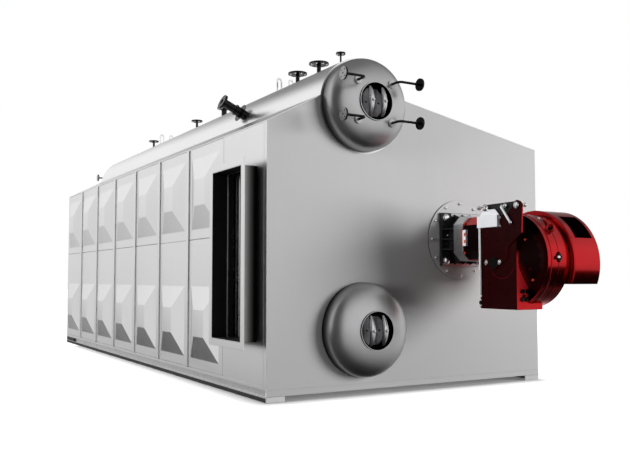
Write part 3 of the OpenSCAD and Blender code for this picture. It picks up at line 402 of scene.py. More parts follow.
def swept(stations):
    """Points and faces of a closed tube of sections; each station is a closed ring of points."""
    count, size = len(stations), len(stations[0])
    verts = [point for ring in stations for point in ring]
    faces = []
    for i in range(count):
        for j in range(size):
            k, m = (i + 1) % count, (j + 1) % size
            faces.append((i * size + j, i * size + m, k * size + m, k * size + j))
    return verts, faces


# The drums and their heads, in mm.
DRUM_X = 1096
UPPER_Z = 2972
LOWER_Z = 666
DRUM_RADIUS = 480
JACKET_RADIUS = 500
CASING_LENGTH = 8320
SKIRT = 60
DOME = 217
FULLNESS = 2.3
HEAD_STEEL = 30
MANHOLE_OUTER = 198.5
SEAT_GAP = 0.3
DOME_STEP = 2.5
CROWN_SLOPE = 0.17


def dome_line(shrink):
    """Radius and reach of a dished head's surface, from its skirt to the manhole's rim."""
    line = [(DRUM_RADIUS - shrink, SEAT_GAP)]
    angle = 90.0
    while angle > DOME_STEP:
        side, ahead = math.sin(math.radians(angle)), math.cos(math.radians(angle))
        radius = (DRUM_RADIUS - shrink) * side ** (2 / FULLNESS)
        reach = SKIRT + (DOME - shrink) * max(0.0, ahead) ** (2 / FULLNESS)
        if radius <= MANHOLE_OUTER:
            break
        line.append((radius, reach))
        angle -= DOME_STEP
    line.append((MANHOLE_OUTER, line[-1][1] + (line[-1][0] - MANHOLE_OUTER) * CROWN_SLOPE))
    return line


def dished_heads(node, height, turns=160):
    """A smooth turned head at each end of a drum."""
    section = dome_line(0) + dome_line(HEAD_STEEL)[::-1]
    verts, faces = [], []
    for rear in (False, True):
        stations = []
        for i in range(turns):
            a = 2 * math.pi * i / turns
            stations.append([
                at(DRUM_X + r * math.cos(a), CASING_LENGTH + y if rear else -y, height + r * math.sin(a))
                for r, y in section
            ])
        ring_verts, ring_faces = swept(stations)
        start = len(verts)
        verts += ring_verts
        faces += [tuple(i + start for i in face) for face in ring_faces]
    return dressed(solid_of(node + "_turned", verts, faces, head_steel), node)


def lathe(profile, origin, axis, turns=20):
    """Points and faces of a small turned part. Its profile is (radius, height) in mm, from pole to pole."""
    turn = Vector((0, 0, 1)).rotation_difference(Vector(axis)).to_matrix()
    verts = [origin + turn @ Vector((0, 0, profile[0][1])) * MM]
    for radius, height in profile[1:-1]:
        for i in range(turns):
            a = 2 * math.pi * i / turns
            verts.append(origin + turn @ Vector((radius * math.cos(a), radius * math.sin(a), height)) * MM)
    verts.append(origin + turn @ Vector((0, 0, profile[-1][1])) * MM)
    rings = len(profile) - 2
    last = len(verts) - 1
    faces = [(0, 1 + (i + 1) % turns, 1 + i) for i in range(turns)]
    faces += [(last, last - turns + i, last - turns + (i + 1) % turns) for i in range(turns)]
    for k in range(rings - 1):
        base = 1 + k * turns
        for i in range(turns):
            j = (i + 1) % turns
            faces.append((base + i, base + j, base + turns + j, base + turns + i))
    return verts, faces


def turned_parts(name, profile, places, axis, material, turns=20, crease=40):
    """One piece of many like turned parts standing at places (mm from the corner)."""
    verts, faces = [], []
    for place in places:
        more_verts, more_faces = lathe(profile, at(*place), axis, turns)
        faces += [tuple(i + len(verts) for i in face) for face in more_faces]
        verts += more_verts
    return dressed(solid_of(name, verts, faces, material, crease))


def ball_line(radius, steps=9):
    """Profile of a ball standing on its pole."""
    line = []
    for i in range(steps + 1):
        a = math.pi * i / steps
        line.append((radius * math.sin(a), radius * (1 - math.cos(a))))
    return line


dished_heads("upper_heads", UPPER_Z)
dished_heads("lower_heads", LOWER_Z)


def rolled_jacket(node, steps=150):
    """The sheet over the drum, as one smooth arc standing on the two roof slopes."""
    axis = at(DRUM_X, 0, UPPER_Z)
    angles = []
    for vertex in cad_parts[node].data.vertices:
        out = Vector((vertex.co.x - axis.x, vertex.co.z - axis.z))
        if out.length > (JACKET_RADIUS - 1) * MM:
            angles.append(math.atan2(out.x, out.y))
    low, high = min(angles), max(angles)
    stations = []
    for y in (0.0, CASING_LENGTH):
        outer = []
        inner = []
        for i in range(steps + 1):
            a = low + (high - low) * i / steps
            for line, radius in ((outer, JACKET_RADIUS), (inner, DRUM_RADIUS + 1)):
                line.append(at(DRUM_X + radius * math.sin(a), y, UPPER_Z + radius * math.cos(a)))
        stations.append(outer + inner[::-1])
    size = len(stations[0])
    verts = stations[0] + stations[1]
    faces = [(j, (j + 1) % size, size + (j + 1) % size, size + j) for j in range(size)]
    half = size // 2
    for base in (0, size):
        for j in range(half - 1):
            faces.append((base + j, base + j + 1, base + size - 2 - j, base + size - 1 - j))
    return dressed(solid_of(node + "_rolled", verts, faces, jacket_sheet), node)


rolled_jacket("drum_jacket")

# How far each node's edges are eased, in mm.
EASED_EDGES = {
    "front_wall": 4, "rear_wall": 4, "left_wall": 1, "left_panels": 7, "right_panels": 7,
    "front_bay_skins": 3, "panel_battens": 3, "roof_sheets": 2, "base_rails": 3, "skid_channels": 2,
    "skid_runners": 2, "end_beams": 3, "corner_feet": 3, "flue_outlet": 2, "manhole_rims": 1,
    "manhole_covers": 3, "gauge_pads": 2, "gauge_pipes": 2, "safety_nozzles": 2, "service_nozzles": 2,
    "feedwater_nozzle": 2, "feedwater_collar": 2, "lifting_lugs": 4, "burner_plate": 2,
    "burner_flange": 2, "burner_bolts": 2, "burner_frame": 5, "burner_neck": 8, "burner_housing": 6,
    "burner_side_plate": 3, "side_plate_fasteners": 2, "fan_casing": 4, "fan_fittings": 1.5,
    "fan_spigot": 2, "air_intake": 2, "control_box": 6, "lever_arm": 2, "link_rods": 1,
    "cable_glands": 2, "terminal_block": 3,
}
eased = {node: softened(node, edge) for node, edge in EASED_EDGES.items()}

# Shares of a normal along an axis at which a face counts as turned squarely, mostly or partly that way.
SQUARELY = 0.9
MOSTLY = 0.5
PARTLY = 0.3

# Where the finishes change, in mm. Pairs are along the boiler and up.
DUCT_MIDDLE = (581.5, 1430)
DUCT_HALF = (355.5, 862)
DUCT_REACH = 165
DUCT_LIP = 150
DUCT_FRONT = 300
MANHOLE_MOUTH = 276
GAUGE_FLANGES = 440
HOUSING_FACE = -1170
CONE_START = 2118
CONE_EDGE = 2290
EYE_FOOT = 1600
PLUG_MIDDLE = (-881, 1341)
PLUG_REACH = 60


def lines_duct(c, n):
    """Whether a face of the gas outlet lines its inside."""
    along, up = c.y - DUCT_MIDDLE[0], c.z - DUCT_MIDDLE[1]
    within = -DUCT_REACH < c.x < 1 and abs(along) < DUCT_HALF[0] and abs(up) < DUCT_HALF[1]
    return within and n.x > -MOSTLY and along * n.y + up * n.z < 0


def is_plug(c, n):
    """Whether a face belongs to the round plug on the side plate."""
    return math.hypot(c.y - PLUG_MIDDLE[0], c.z - PLUG_MIDDLE[1]) < PLUG_REACH


for node, material, chosen in (
    ("flue_outlet", flue_soot, lines_duct),
    ("flue_outlet", casing_sheet, lambda c, n: c.x < -DUCT_LIP and n.x < -SQUARELY),
    ("flue_outlet", casing_sheet, lambda c, n: c.x < -DUCT_LIP and n.y < -SQUARELY and c.y < DUCT_FRONT),
    # Painted shade: black inside the manholes' mouths.
    ("manhole_rims", manhole_painted_shade, lambda c, n: -MANHOLE_MOUTH < c.y < CASING_LENGTH + MANHOLE_MOUTH),
    # Painted light: the bright steel goes only on the faces of the left-hand flanges.
    ("gauge_pipes", flange_bright, lambda c, n: c.x < DRUM_X - GAUGE_FLANGES and abs(n.x) > 0.7),
    ("left_wall", flue_soot, lambda c, n: n.x > -MOSTLY),
    ("panel_battens", batten_paint, lambda c, n: n.y < -MOSTLY),
    # Painted shade: the housing's sides turned from the light take the black-red copy of its red lacquer.
    ("burner_housing", burner_red_painted_shade, lambda c, n: n.x < -PARTLY),
    # Painted light and shade on the housing's face behind the drum.
    ("burner_housing", face_painted_light_and_shade, lambda c, n: n.y < -SQUARELY and c.y < HOUSING_FACE + 10),
    # Painted shade on the neck's sides.
    ("burner_neck", neck_painted_shade, lambda c, n: n.x < -PARTLY and n.z < PARTLY),
    # Painted shade and light on the fan's cone; painted shade on its small end and on the rim's sides turned from
    # the light.
    ("fan_casing", cone_painted_shade_and_light, lambda c, n: n.x < -PARTLY and c.x < CONE_EDGE),
    ("fan_casing", burner_red_painted_shade, lambda c, n: c.x < CONE_START or (n.x < -PARTLY and c.x >= CONE_EDGE)),
    ("burner_side_plate", burner_red, lambda c, n: n.y < -PARTLY),
    ("fan_fittings", burner_red, lambda c, n: c.z > EYE_FOOT),
    # Painted shade: the round plate's edge is black, a dark outline where it lies in shade.
    ("burner_plate", nylon_and_painted_shade, lambda c, n: abs(n.y) < PARTLY),
    ("front_wall", casing_sheet, lambda c, n: n.x < -MOSTLY),
    ("rear_wall", casing_sheet, lambda c, n: n.x < -MOSTLY),
    ("side_plate_fasteners", nylon_and_painted_shade, is_plug),
):
    repaint(eased[node], material, chosen)

# Yokes across the manhole covers

CROWN = SKIRT + DOME
YOKE_SPREAD = 75
YOKE_HEIGHT = 324
YOKE_RISE = 50
YOKE_WIDTH = 66
YOKE_END_WIDTH = 30
YOKE_DEPTH = 46


def bowed_yoke(x, wall_y, out, z, steps=24, sides=20):
    """One forged yoke, bowed outward and slimmer towards its ends. out is -1 in front and 1 at the rear."""
    verts, faces = [], []
    for i in range(steps + 1):
        t = 2 * i / steps - 1
        width = YOKE_WIDTH + (YOKE_END_WIDTH - YOKE_WIDTH) * abs(t) ** 1.5
        depth = YOKE_DEPTH * (1 - 0.5 * t * t)
        middle = CROWN + YOKE_RISE * (1 - t * t) - YOKE_DEPTH / 2
        for j in range(sides):
            a = 2 * math.pi * j / sides
            verts.append(at(
                x + width / 2 * math.cos(a),
                wall_y + out * (middle + depth / 2 * math.sin(a)),
                z + YOKE_HEIGHT / 2 * t,
            ))
    for i in range(steps):
        for j in range(sides):
            k = (j + 1) % sides
            faces.append((i * sides + j, i * sides + k, (i + 1) * sides + k, (i + 1) * sides + j))
    faces += [tuple(range(sides)), tuple(range(steps * sides, (steps + 1) * sides))]
    return verts, faces


yoke_verts, yoke_faces, nut_places = [], [], {-1: [], 1: []}
for wall_y, out in ((0, -1), (CASING_LENGTH, 1)):
    for z in (UPPER_Z, LOWER_Z):
        for x in (DRUM_X - YOKE_SPREAD, DRUM_X + YOKE_SPREAD):
            verts, faces = bowed_yoke(x, wall_y, out, z)
            yoke_faces += [tuple(i + len(yoke_verts) for i in face) for face in faces]
            yoke_verts += verts
            nut_places[out].append((x, wall_y + out * (CROWN + YOKE_RISE - 2), z))
dressed(solid_of("bowed_yokes", yoke_verts, yoke_faces, yoke_steel, 60), "cover_yokes")
NUT = [(0, 0), (17, 0), (17, 12), (14, 15), (9, 15), (9, 21), (6, 24), (0, 25)]
for out, places in nut_places.items():
    turned_parts("yoke_nuts_front" if out < 0 else "yoke_nuts_rear", NUT, places, (0, out, 0), bright_steel)


# Things made by rule


def grown(name, base, sizes, build, material):
    """A piece that Geometry Nodes make from a base mesh, baked plain. build(tree, sockets) gives its geometry."""
    tree = bpy.data.node_groups.new(name, "GeometryNodeTree")
    tree.interface.new_socket("Base", in_out="INPUT", socket_type="NodeSocketGeometry")
    tree.interface.new_socket("Result", in_out="OUTPUT", socket_type="NodeSocketGeometry")
    names = {}
    for label, value in sizes.items():
        kind = "NodeSocketInt" if isinstance(value, int) else "NodeSocketFloat"
        names[label] = tree.interface.new_socket(label, in_out="INPUT", socket_type=kind).identifier
    entry = tree.nodes.new("NodeGroupInput")
    made = build(tree, entry.outputs)
    real = add(tree, "GeometryNodeRealizeInstances", {"Geometry": made})
    painted = add(tree, "GeometryNodeSetMaterial", {"Geometry": real.outputs[0], "Material": material})
    add(tree, "NodeGroupOutput", {"Result": painted.outputs[0]})
    holder = bpy.data.objects.new(name + "_base", base)
    bpy.context.scene.collection.objects.link(holder)
    modifier = holder.modifiers.new(name, "NODES")
    modifier.node_group = tree
    for label, value in sizes.items():
        modifier[names[label]] = value
    bpy.context.view_layer.update()
    mesh = bpy.data.meshes.new_from_object(holder.evaluated_get(bpy.context.evaluated_depsgraph_get()))
    holder.modifiers.remove(modifier)
    bpy.data.objects.remove(holder)
    mesh.name = name
    piece = bpy.data.objects.new(name, mesh)
    bpy.context.scene.collection.objects.link(piece)
    return piece


def row_of_tubes(tree, sizes):
    """Bent tubes side by side along the base line."""
    path = add(tree, "GeometryNodeMeshToCurve", {"Mesh": sizes["Base"]})
    bends = {"Curve": path.outputs[0], "Radius": sizes["Bend radius"], "Count": 10}
    bent = add(tree, "GeometryNodeFilletCurve", bends, mode="POLY")
    outline = {"Resolution": 20, "Radius": sizes["Tube radius"]}
    round_line = add(tree, "GeometryNodeCurvePrimitiveCircle", outline)
    skin = {"Curve": bent.outputs[0], "Profile Curve": round_line.outputs[0], "Fill Caps": True}
    tube = add(tree, "GeometryNodeCurveToMesh", skin)
    smooth = add(tree, "GeometryNodeSetShadeSmooth", {"Geometry": tube.outputs[0]})
    step = add(tree, "ShaderNodeCombineXYZ", {"Y": sizes["Pitch"]})
    line = add(tree, "GeometryNodeMeshLine", {"Count": sizes["Tubes"], "Offset": step.outputs[0]})
    row = {"Points": line.outputs[0], "Instance": smooth.outputs[0]}
    return add(tree, "GeometryNodeInstanceOnPoints", row).outputs[0]


TUBE_ROUTE = [(690, 160, 420), (146, 160, 420), (146, 160, 2600), (800, 160, 2600)]
route = bpy.data.meshes.new("tube_route")
route.from_pydata([at(*point) for point in TUBE_ROUTE], [(0, 1), (1, 2), (2, 3)], [])
tubes = grown(
    "boiler_tube_row", route,
    {"Tube radius": 27 * MM, "Bend radius": 120 * MM, "Pitch": 108 * MM, "Tubes": 12},
    row_of_tubes, tube_steel,
)
dressed(tubes, "boiler_tubes")


def ring_of_bolts(tree, sizes):
    """Hexagon heads on a level ring round each point of the base."""
    ring = add(tree, "GeometryNodeMeshCircle", {"Vertices": sizes["Bolts"], "Radius": sizes["Ring radius"]})
    hexagon = {"Vertices": 6, "Radius": sizes["Bolt radius"], "Depth": sizes["Bolt height"]}
    head = add(tree, "GeometryNodeMeshCylinder", hexagon)
    round_ring = {"Points": ring.outputs[0], "Instance": head.outputs[0]}
    bolts = add(tree, "GeometryNodeInstanceOnPoints", round_ring)
    at_each = {"Points": sizes["Base"], "Instance": bolts.outputs[0]}
    return add(tree, "GeometryNodeInstanceOnPoints", at_each).outputs[0]


def bolt_rings(name, centres, axis, ring, bolts, bolt, height, material):
    """Rings of bolts round centres (mm from the corner) on flanges that face along an axis."""
    turn = Vector((0, 0, 1)).rotation_difference(Vector(axis)).to_matrix().to_4x4()
    spots = bpy.data.meshes.new(name + "_spots")
    spots.from_pydata([turn.inverted() @ at(*centre) for centre in centres], [], [])
    piece = grown(
        name, spots,
        {"Ring radius": ring * MM, "Bolts": bolts, "Bolt radius": bolt * MM, "Bolt height": height * MM},
        ring_of_bolts, material,
    )
    piece.data.transform(turn)
    return dressed(piece)


NOZZLE_TOP = UPPER_Z + JACKET_RADIUS + 168
UP = (0, 0, 1)
for name, ys, ring, bolts, bolt in (
    ("safety_nozzle_bolts", (875, 1377), 89, 8, 13), ("steam_nozzle_bolts", (3566,), 78, 8, 13),
    ("vent_nozzle_bolts", (406,), 40.5, 4, 9), ("rear_nozzle_bolts", (4620, 6693), 67, 4, 11),
):
    rings = [(DRUM_X, y, NOZZLE_TOP - 20) for y in ys]
    bolt_rings(name, rings, UP, ring, bolts, bolt, 16, bright_steel)

# The burner's small fittings

FRONT = (0, -1, 0)
LEFT = (-1, 0, 0)
BURNER_X = 2390
BURNER_Z = 1612
PLATE_FACE = -15
FLANGE_FACE = -50
HEAD_FACE = -337
PLATE_PITCH = 400
BIG_BOLT_REACH = 233


def dome_line_of(radius, skirt, height, steps=6):
    """Profile of a screw head: a short cylinder under a dome."""
    line = [(0, 0), (radius, 0)]
    for i in range(steps):
        a = math.pi / 2 * i / steps
        line.append((radius * math.cos(a), skirt + (height - skirt) * math.sin(a)))
    return line + [(0, height)]


def rod_line(radius, length):
    """Profile of a round-ended rod."""
    line = [(0, 0)]
    for i in range(1, 5):
        a = math.pi / 2 * i / 4
        line.append((radius * math.sin(a), radius * (1 - math.cos(a))))
    for i in range(4):
        a = math.pi / 2 * i / 4
        line.append((radius * math.cos(a), length - radius * (1 - math.sin(a))))
    return line + [(0, length)]


def rod(name, start, end, radius, material):
    """A round-ended rod between two points in mm."""
    way = Vector(end) - Vector(start)
    return turned_parts(name, rod_line(radius, way.length), [start], way.normalized(), material)


def ringed(name, centre, axis, radius, thickness, material, turns=28, sides=12):
    """A round ring of round bar. Centre and sizes in mm."""
    turn = Vector((0, 0, 1)).rotation_difference(Vector(axis)).to_matrix()
    stations = []
    for i in range(turns):
        a = 2 * math.pi * i / turns
        station = []
        for j in range(sides):
            b = 2 * math.pi * j / sides
            out = radius + thickness / 2 * math.cos(b)
            spot = Vector((out * math.cos(a), out * math.sin(a), thickness / 2 * math.sin(b)))
            station.append(at(*centre) + turn @ spot * MM)
        stations.append(station)
    return dressed(solid_of(name, *swept(stations), material, 80))


def slabs(name, blocks, material):
    """One piece of plain blocks, each a near and a far corner in mm."""
    verts, faces = [], []
    for low, high in blocks:
        start = len(verts)
        for x in (low[0], high[0]):
            for y in (low[1], high[1]):
                for z in (low[2], high[2]):
                    verts.append(at(x, y, z))
        for face in ((0, 1, 3, 2), (4, 6, 7, 5), (0, 4, 5, 1), (2, 3, 7, 6), (0, 2, 6, 4), (1, 5, 7, 3)):
            faces.append(tuple(start + i for i in face))
    return dressed(solid_of(name, verts, faces, material))


plate_ring = []
for i in range(12):
    a = math.radians(30 * i)
    x, z = BURNER_X + PLATE_PITCH * math.sin(a), BURNER_Z + PLATE_PITCH * math.cos(a)
    plate_ring.append((x, PLATE_FACE - 3, z))
big_bolts = []
for i in (-1, 1):
    for j in (-1, 1):
        big_bolts.append((BURNER_X + i * BIG_BOLT_REACH, FLANGE_FACE, BURNER_Z + j * BIG_BOLT_REACH))

# Knobs along the lever arm, and the one on its handle.
for name, radius, place in (
    ("arm_ball_first", 19, (2064, -702, 1886)), ("arm_ball_second", 34, (2070, -786, 1851)),
    ("arm_ball_third", 24, (2078, -1050, 1870)), ("arm_ball_last", 20, (2110, -1280, 1866)),
    ("arm_handle_ball", 20, (2064, -1134, 1706)),
):
    turned_parts(name, ball_line(radius), [place], UP, chrome, crease=80)

# Domed heads: (radius, skirt, height) of each, and where it faces.
CONE_TOP, CONE_LOW, CONE_MID = (-0.71, -0.51, 0.49), (-0.71, -0.57, -0.42), (-0.71, -0.67, -0.23)
EYE_WAY = (-0.8, -0.55, 0.2)
REARWARD = (0, 1, 0)
for name, sizes, places, axis, material in (
    # On the round plate and the square flange.
    ("plate_screw_heads", (15, 8, 16), plate_ring, FRONT, chrome),
    ("flange_bolt_heads", (43, 14, 40), big_bolts, FRONT, chrome),
    ("fin_screws", (12, 5, 14), [(2183, FLANGE_FACE, 1656)], FRONT, chrome),
    ("fin_screws_small", (9, 4, 10), [(2176, FLANGE_FACE, 1566)], FRONT, flange_bright),
    ("earth_bolts", (12, 8, 16), [(2180, HEAD_FACE, 1768), (2180, HEAD_FACE, 1456)], FRONT, terminal_orange),
    # On the lever arm's pin, beside the control box and on the side plate.
    ("arm_pin_cap", (34, 8, 22), [(2082, -1198, 1889)], LEFT, chrome),
    ("box_screws", (13, 5, 12), [(2086, -971, 1786), (2086, -970, 1702)], LEFT, chrome),
    ("plate_screws_left", (24, 8, 20), [(2086, -770, 1341), (2086, -957, 1341)], LEFT, chrome),
    # In the fan's cone.
    ("cone_screw_top", (14, 5, 14), [(2211, -1176, 1562)], CONE_TOP, terminal_orange),
    ("cone_screw_low", (14, 5, 14), [(2251, -1233, 1170)], CONE_LOW, terminal_orange),
    # Painted shade: the middle screw in the cone takes the black-red copy of the red lacquer.
    ("cone_screw_mid", (20, 6, 12), [(2212, -1241, 1272)], CONE_MID, burner_red_painted_shade),
    # The latch's stud, the hole in the eye and the stay's screw, on the fan's drum.
    ("latch_stud", (20, 8, 22), [(2366, -1446, 1385)], FRONT, chrome),
    # Painted shade: the eye's hole is a black disc set behind the ring, standing in for the shade inside it.
    ("fan_eye_hole", (27, 3, 5), [(2388, -1338, 1663)], EYE_WAY, nylon_and_painted_shade),
    ("fan_stay_screw", (14, 5, 14), [(2397, -1180, 1774)], (-0.3, -0.5, 0.8), chrome),
    # The middle gland, and the lead's plug behind the housing.
    ("middle_gland", (16, 8, 16), [(2186, -1170, 1016)], FRONT, nylon_and_painted_shade),
    ("lead_plug", (24, 26, 34), [(2112, -676, 940)], REARWARD, nylon_and_painted_shade),
    ("lead_nut", (14, 8, 14), [(2104, -672, 985), (2104, -672, 896)], REARWARD, chrome),
):
    turned_parts(name, dome_line_of(*sizes), places, axis, material)

# The arm's handle, the eye's neck and the stay beside it.
# Painted highlight: the handle is white plastic, standing in for the glint along a chrome handle.
rod("arm_handle", (2064, -1003, 1896), (2064, -1124, 1736), 13, box_plastic)
rod("fan_eye_neck", (2352, -1325, 1656), (2335, -1310, 1640), 17, burner_red)
rod("fan_stay", (2452, -1196, 1778), (2397, -1308, 1706), 12, burner_red)

# The eye's ring, and the rolled edge round the fan's cone.
ringed("fan_eye_ring", (2368, -1352, 1668), EYE_WAY, 34, 20, burner_red)
ringed("fan_rolled_edge", (2302, -965, 1363), (1, 0, 0), 462, 20, burner_red, turns=120)

# Painted light: grey strips on the black square flange, where its face shows lit above and below. The terminal
# block's notches. A painted highlight: a white strip along the housing's back edge.
slabs("flange_painted_light_strips", [
    ((2110, FLANGE_FACE - 3, 1322), (2670, FLANGE_FACE, 1350)),
    ((2240, FLANGE_FACE - 3, 1866), (2670, FLANGE_FACE, 1898)),
], burner_grey)
slabs("terminal_notches", [
    ((2136, -396, 1630), (2166, -374, 1664)), ((2136, -396, 1556), (2166, -374, 1590)),
    ((2134, -350, 1528), (2160, -336, 1708)),
], terminal_orange)
slabs("housing_back_edge_highlight", [((2088, -672, 1270), (2098, -655, 1700))], box_plastic)


# Studio

# How pale the floor is to light, how far it is lifted for the camera near the boiler and far off (m), and how
# much of it other surfaces get back.
FLOOR_MATT = 0.8
FLOOR_LIFT = 0.72
FAR_LIFT = 1.1
FAR_OFF = 9.0
FLOOR_BOUNCE = 0.1
# Half the boiler's footprint (m), and how wide and how dim the lift is close to it: a painted contact shadow round
# the boiler's base.
FOOTPRINT = (1.74, 3.64, 0.0)
SHADOW_WIDTH = 0.2
SHADOW_LIFT = 0.14
FLOOR_HALF = 80
# Brightness of the mirrored ceiling, of the sides' ground, of the even fill and of the cards.
CEILING = 0.25
SIDE_GROUND = 0.86
LEFT_GROUND = 0.04
FILL = 0.05
CURTAIN = 0.08
HIGH_CARD = 1.2
GROUND_CLOTH = 0.01
WHITE = (1.0, 1.0, 1.0, 1.0)
# Lamp powers in watts.
LEFT_POWER = 2200
FRONT_POWER = 3900
SIDE_POWER = 1800
REAR_POWER = 1700


def sheet(name, corners, material):
    """A flat four-cornered sheet for the studio."""
    mesh = bpy.data.meshes.new(name)
    mesh.from_pydata([Vector(c) for c in corners], [], [(0, 1, 2, 3)])
    mesh.materials.append(material)
    piece = bpy.data.objects.new(name, mesh)
    bpy.context.scene.collection.objects.link(piece)
    return piece


# White studio floor. The camera sees it lifted to the backdrop's white, so that only the shadow shows.
# What paint and metal mirror below the horizon is in the air's finish further down.
floor_finish = bpy.data.materials.new("studio_floor_white")
floor_finish.use_nodes = True
tree = floor_finish.node_tree
tree.nodes.clear()
rays = add(tree, "ShaderNodeLightPath")
place = add(tree, "ShaderNodeTexCoord").outputs["Object"]
side = add(tree, "ShaderNodeVectorMath", {0: place}, operation="ABSOLUTE")
past = add(tree, "ShaderNodeVectorMath", {0: side.outputs[0], 1: FOOTPRINT}, operation="SUBTRACT")
beyond = add(tree, "ShaderNodeVectorMath", {0: past.outputs[0], 1: (0.0, 0.0, 0.0)}, operation="MAXIMUM")
away = add(tree, "ShaderNodeVectorMath", {0: beyond.outputs[0]}, operation="LENGTH").outputs["Value"]
matt = add(tree, "ShaderNodeBsdfDiffuse", {"Color": (FLOOR_MATT,) * 3 + (1.0,)})
spread = {"Value": away, "From Min": 0.0, "From Max": FAR_OFF, "To Min": FLOOR_LIFT, "To Max": FAR_LIFT}
lift = add(tree, "ShaderNodeMapRange", spread).outputs[0]
# Painted shadow: the lift dims towards the footprint, darkening the floor round the base.
deep = {"Value": away, "From Min": 0.0, "From Max": SHADOW_WIDTH, "To Min": SHADOW_LIFT, "To Max": 1.0}
near = add(tree, "ShaderNodeMapRange", deep).outputs[0]
lifted = add(tree, "ShaderNodeMath", {0: lift, 1: near}, operation="MULTIPLY").outputs[0]
glow = add(tree, "ShaderNodeEmission", {"Color": WHITE, "Strength": lifted})
shown = add(tree, "ShaderNodeAddShader", {0: matt.outputs[0], 1: glow.outputs[0]})
bounce = add(tree, "ShaderNodeBsdfDiffuse", {"Color": (FLOOR_BOUNCE,) * 3 + (1.0,)})
seen = rays.outputs["Is Camera Ray"]
pick = add(tree, "ShaderNodeMixShader", {0: seen, 1: bounce.outputs[0], 2: shown.outputs[0]})
add(tree, "ShaderNodeOutputMaterial", {"Surface": pick.outputs[0]})
corners = [(x * FLOOR_HALF, y * FLOOR_HALF, 0) for x, y in ((-1, -1), (1, -1), (1, 1), (-1, 1))]
floor = sheet("studio_floor", corners, floor_finish)
floor.visible_glossy = False

# The air: white to the camera, with a faint even fill. Mirrored, it is a studio: a bright wall all round that
# fades to a dim ceiling, and a ground that falls dark below the horizon, darkest on the left in front.
# Each ramp has the axis that it runs along, where it starts and ends, and its value at both.
RAMPS = {
    "behind": ("Y", 0.3, 0.8, 0.0, 1.0),
    "low": ("Z", 0.0, 0.25, 0.8, 0.0),
    "rear_ground": ("Z", -0.17, -0.12, 0.07, 0.55),
    "front_ground": ("Z", -0.7, -0.12, 0.02, 0.9),
    "leftward": ("X", 0.1, -0.2, 0.0, 1.0),
    "left_ground": ("Z", -0.5, -0.4, 0.0, 0.56),
    "frontward": ("Y", -0.55, -0.65, 0.0, 1.0),
    "rearward": ("Y", 0.2, 0.5, 0.0, 1.0),
    "sideways": ("X", -0.45, -0.62, 0.0, 1.0),
    "rightward": ("X", 0.15, 0.4, 0.0, 1.0),
    "shallow": ("Z", -0.6, -0.5, 0.0, 1.0),
    "horizon": ("Z", -0.08, 0.0, 0.0, 1.0),
}
# The wall's brightness, how fast it fades upward, how much faster behind, and how the rear corners differ.
WALL = 1.55
FADE = 1.5
FADE_BEHIND, FADE_START = 2.2, -0.74
CORNER_LEAN = 4.9
CORNER_LEAST = -0.28
world = bpy.data.worlds.new("studio_air")
bpy.context.scene.world = world
world.use_nodes = True
tree = world.node_tree
tree.nodes.clear()
rays = add(tree, "ShaderNodeLightPath")
way = add(tree, "ShaderNodeSeparateXYZ", {0: add(tree, "ShaderNodeTexCoord").outputs["Generated"]}).outputs
ramp = {}
for name, (axis, start, end, first, last) in RAMPS.items():
    limits = {"Value": way[axis], "From Min": start, "From Max": end, "To Min": first, "To Max": last}
    ramp[name] = add(tree, "ShaderNodeMapRange", limits).outputs[0]
rear = add(tree, "ShaderNodeMath", {0: way["Y"], 1: 0.0}, operation="MAXIMUM").outputs[0]
corner = add(tree, "ShaderNodeMath", {0: way["X"], 1: rear}, operation="MULTIPLY").outputs[0]
steep = add(tree, "ShaderNodeMath", {0: corner, 1: way["Z"]}, operation="MULTIPLY").outputs[0]
lean = add(tree, "ShaderNodeMath", {0: steep, 1: CORNER_LEAN}, operation="MULTIPLY").outputs[0]
slope = {0: way["Z"], 1: FADE_BEHIND, 2: FADE_START}
rise = add(tree, "ShaderNodeMath", slope, operation="MULTIPLY_ADD").outputs[0]
dimmer = add(tree, "ShaderNodeMath", {0: rise, 1: ramp["behind"], 2: lean}, operation="MULTIPLY_ADD").outputs[0]
fade = add(tree, "ShaderNodeMath", {0: way["Z"], 1: FADE, 2: dimmer}, operation="MULTIPLY_ADD").outputs[0]
bright = add(tree, "ShaderNodeMath", {0: WALL, 1: fade}, operation="SUBTRACT").outputs[0]
sky = add(tree, "ShaderNodeClamp", {"Value": bright, "Min": CEILING, "Max": 1.0}).outputs[0]
left_corner = add(tree, "ShaderNodeClamp", {"Value": corner, "Min": CORNER_LEAST, "Max": 0.0}).outputs[0]
above = add(tree, "ShaderNodeMath", {0: left_corner, 1: ramp["low"], 2: sky}, operation="MULTIPLY_ADD").outputs[0]
leftmost = {0: ramp["left_ground"], 1: ramp["frontward"], 2: LEFT_GROUND}
left_part = add(tree, "ShaderNodeMath", leftmost, operation="MULTIPLY_ADD").outputs[0]
front_half = {0: ramp["leftward"], 2: ramp["front_ground"], 3: left_part}
front_part = add(tree, "ShaderNodeMix", front_half).outputs[0]
sides = {0: ramp["rightward"], 1: ramp["shallow"], 2: ramp["sideways"]}
either = add(tree, "ShaderNodeMath", sides, operation="MULTIPLY_ADD").outputs[0]
rear_part = add(tree, "ShaderNodeMix", {0: either, 2: ramp["rear_ground"], 3: SIDE_GROUND}).outputs[0]
below = add(tree, "ShaderNodeMix", {0: ramp["rearward"], 2: front_part, 3: rear_part}).outputs[0]
around = add(tree, "ShaderNodeMix", {0: ramp["horizon"], 2: below, 3: above}).outputs[0]
camera_ray, glossy_ray = rays.outputs["Is Camera Ray"], rays.outputs["Is Glossy Ray"]
strength = add(tree, "ShaderNodeMath", {0: around, 1: camera_ray}, operation="MAXIMUM").outputs[0]
direct = add(tree, "ShaderNodeMath", {0: camera_ray, 1: glossy_ray}, operation="MAXIMUM").outputs[0]
through = rays.outputs["Is Transmission Ray"]
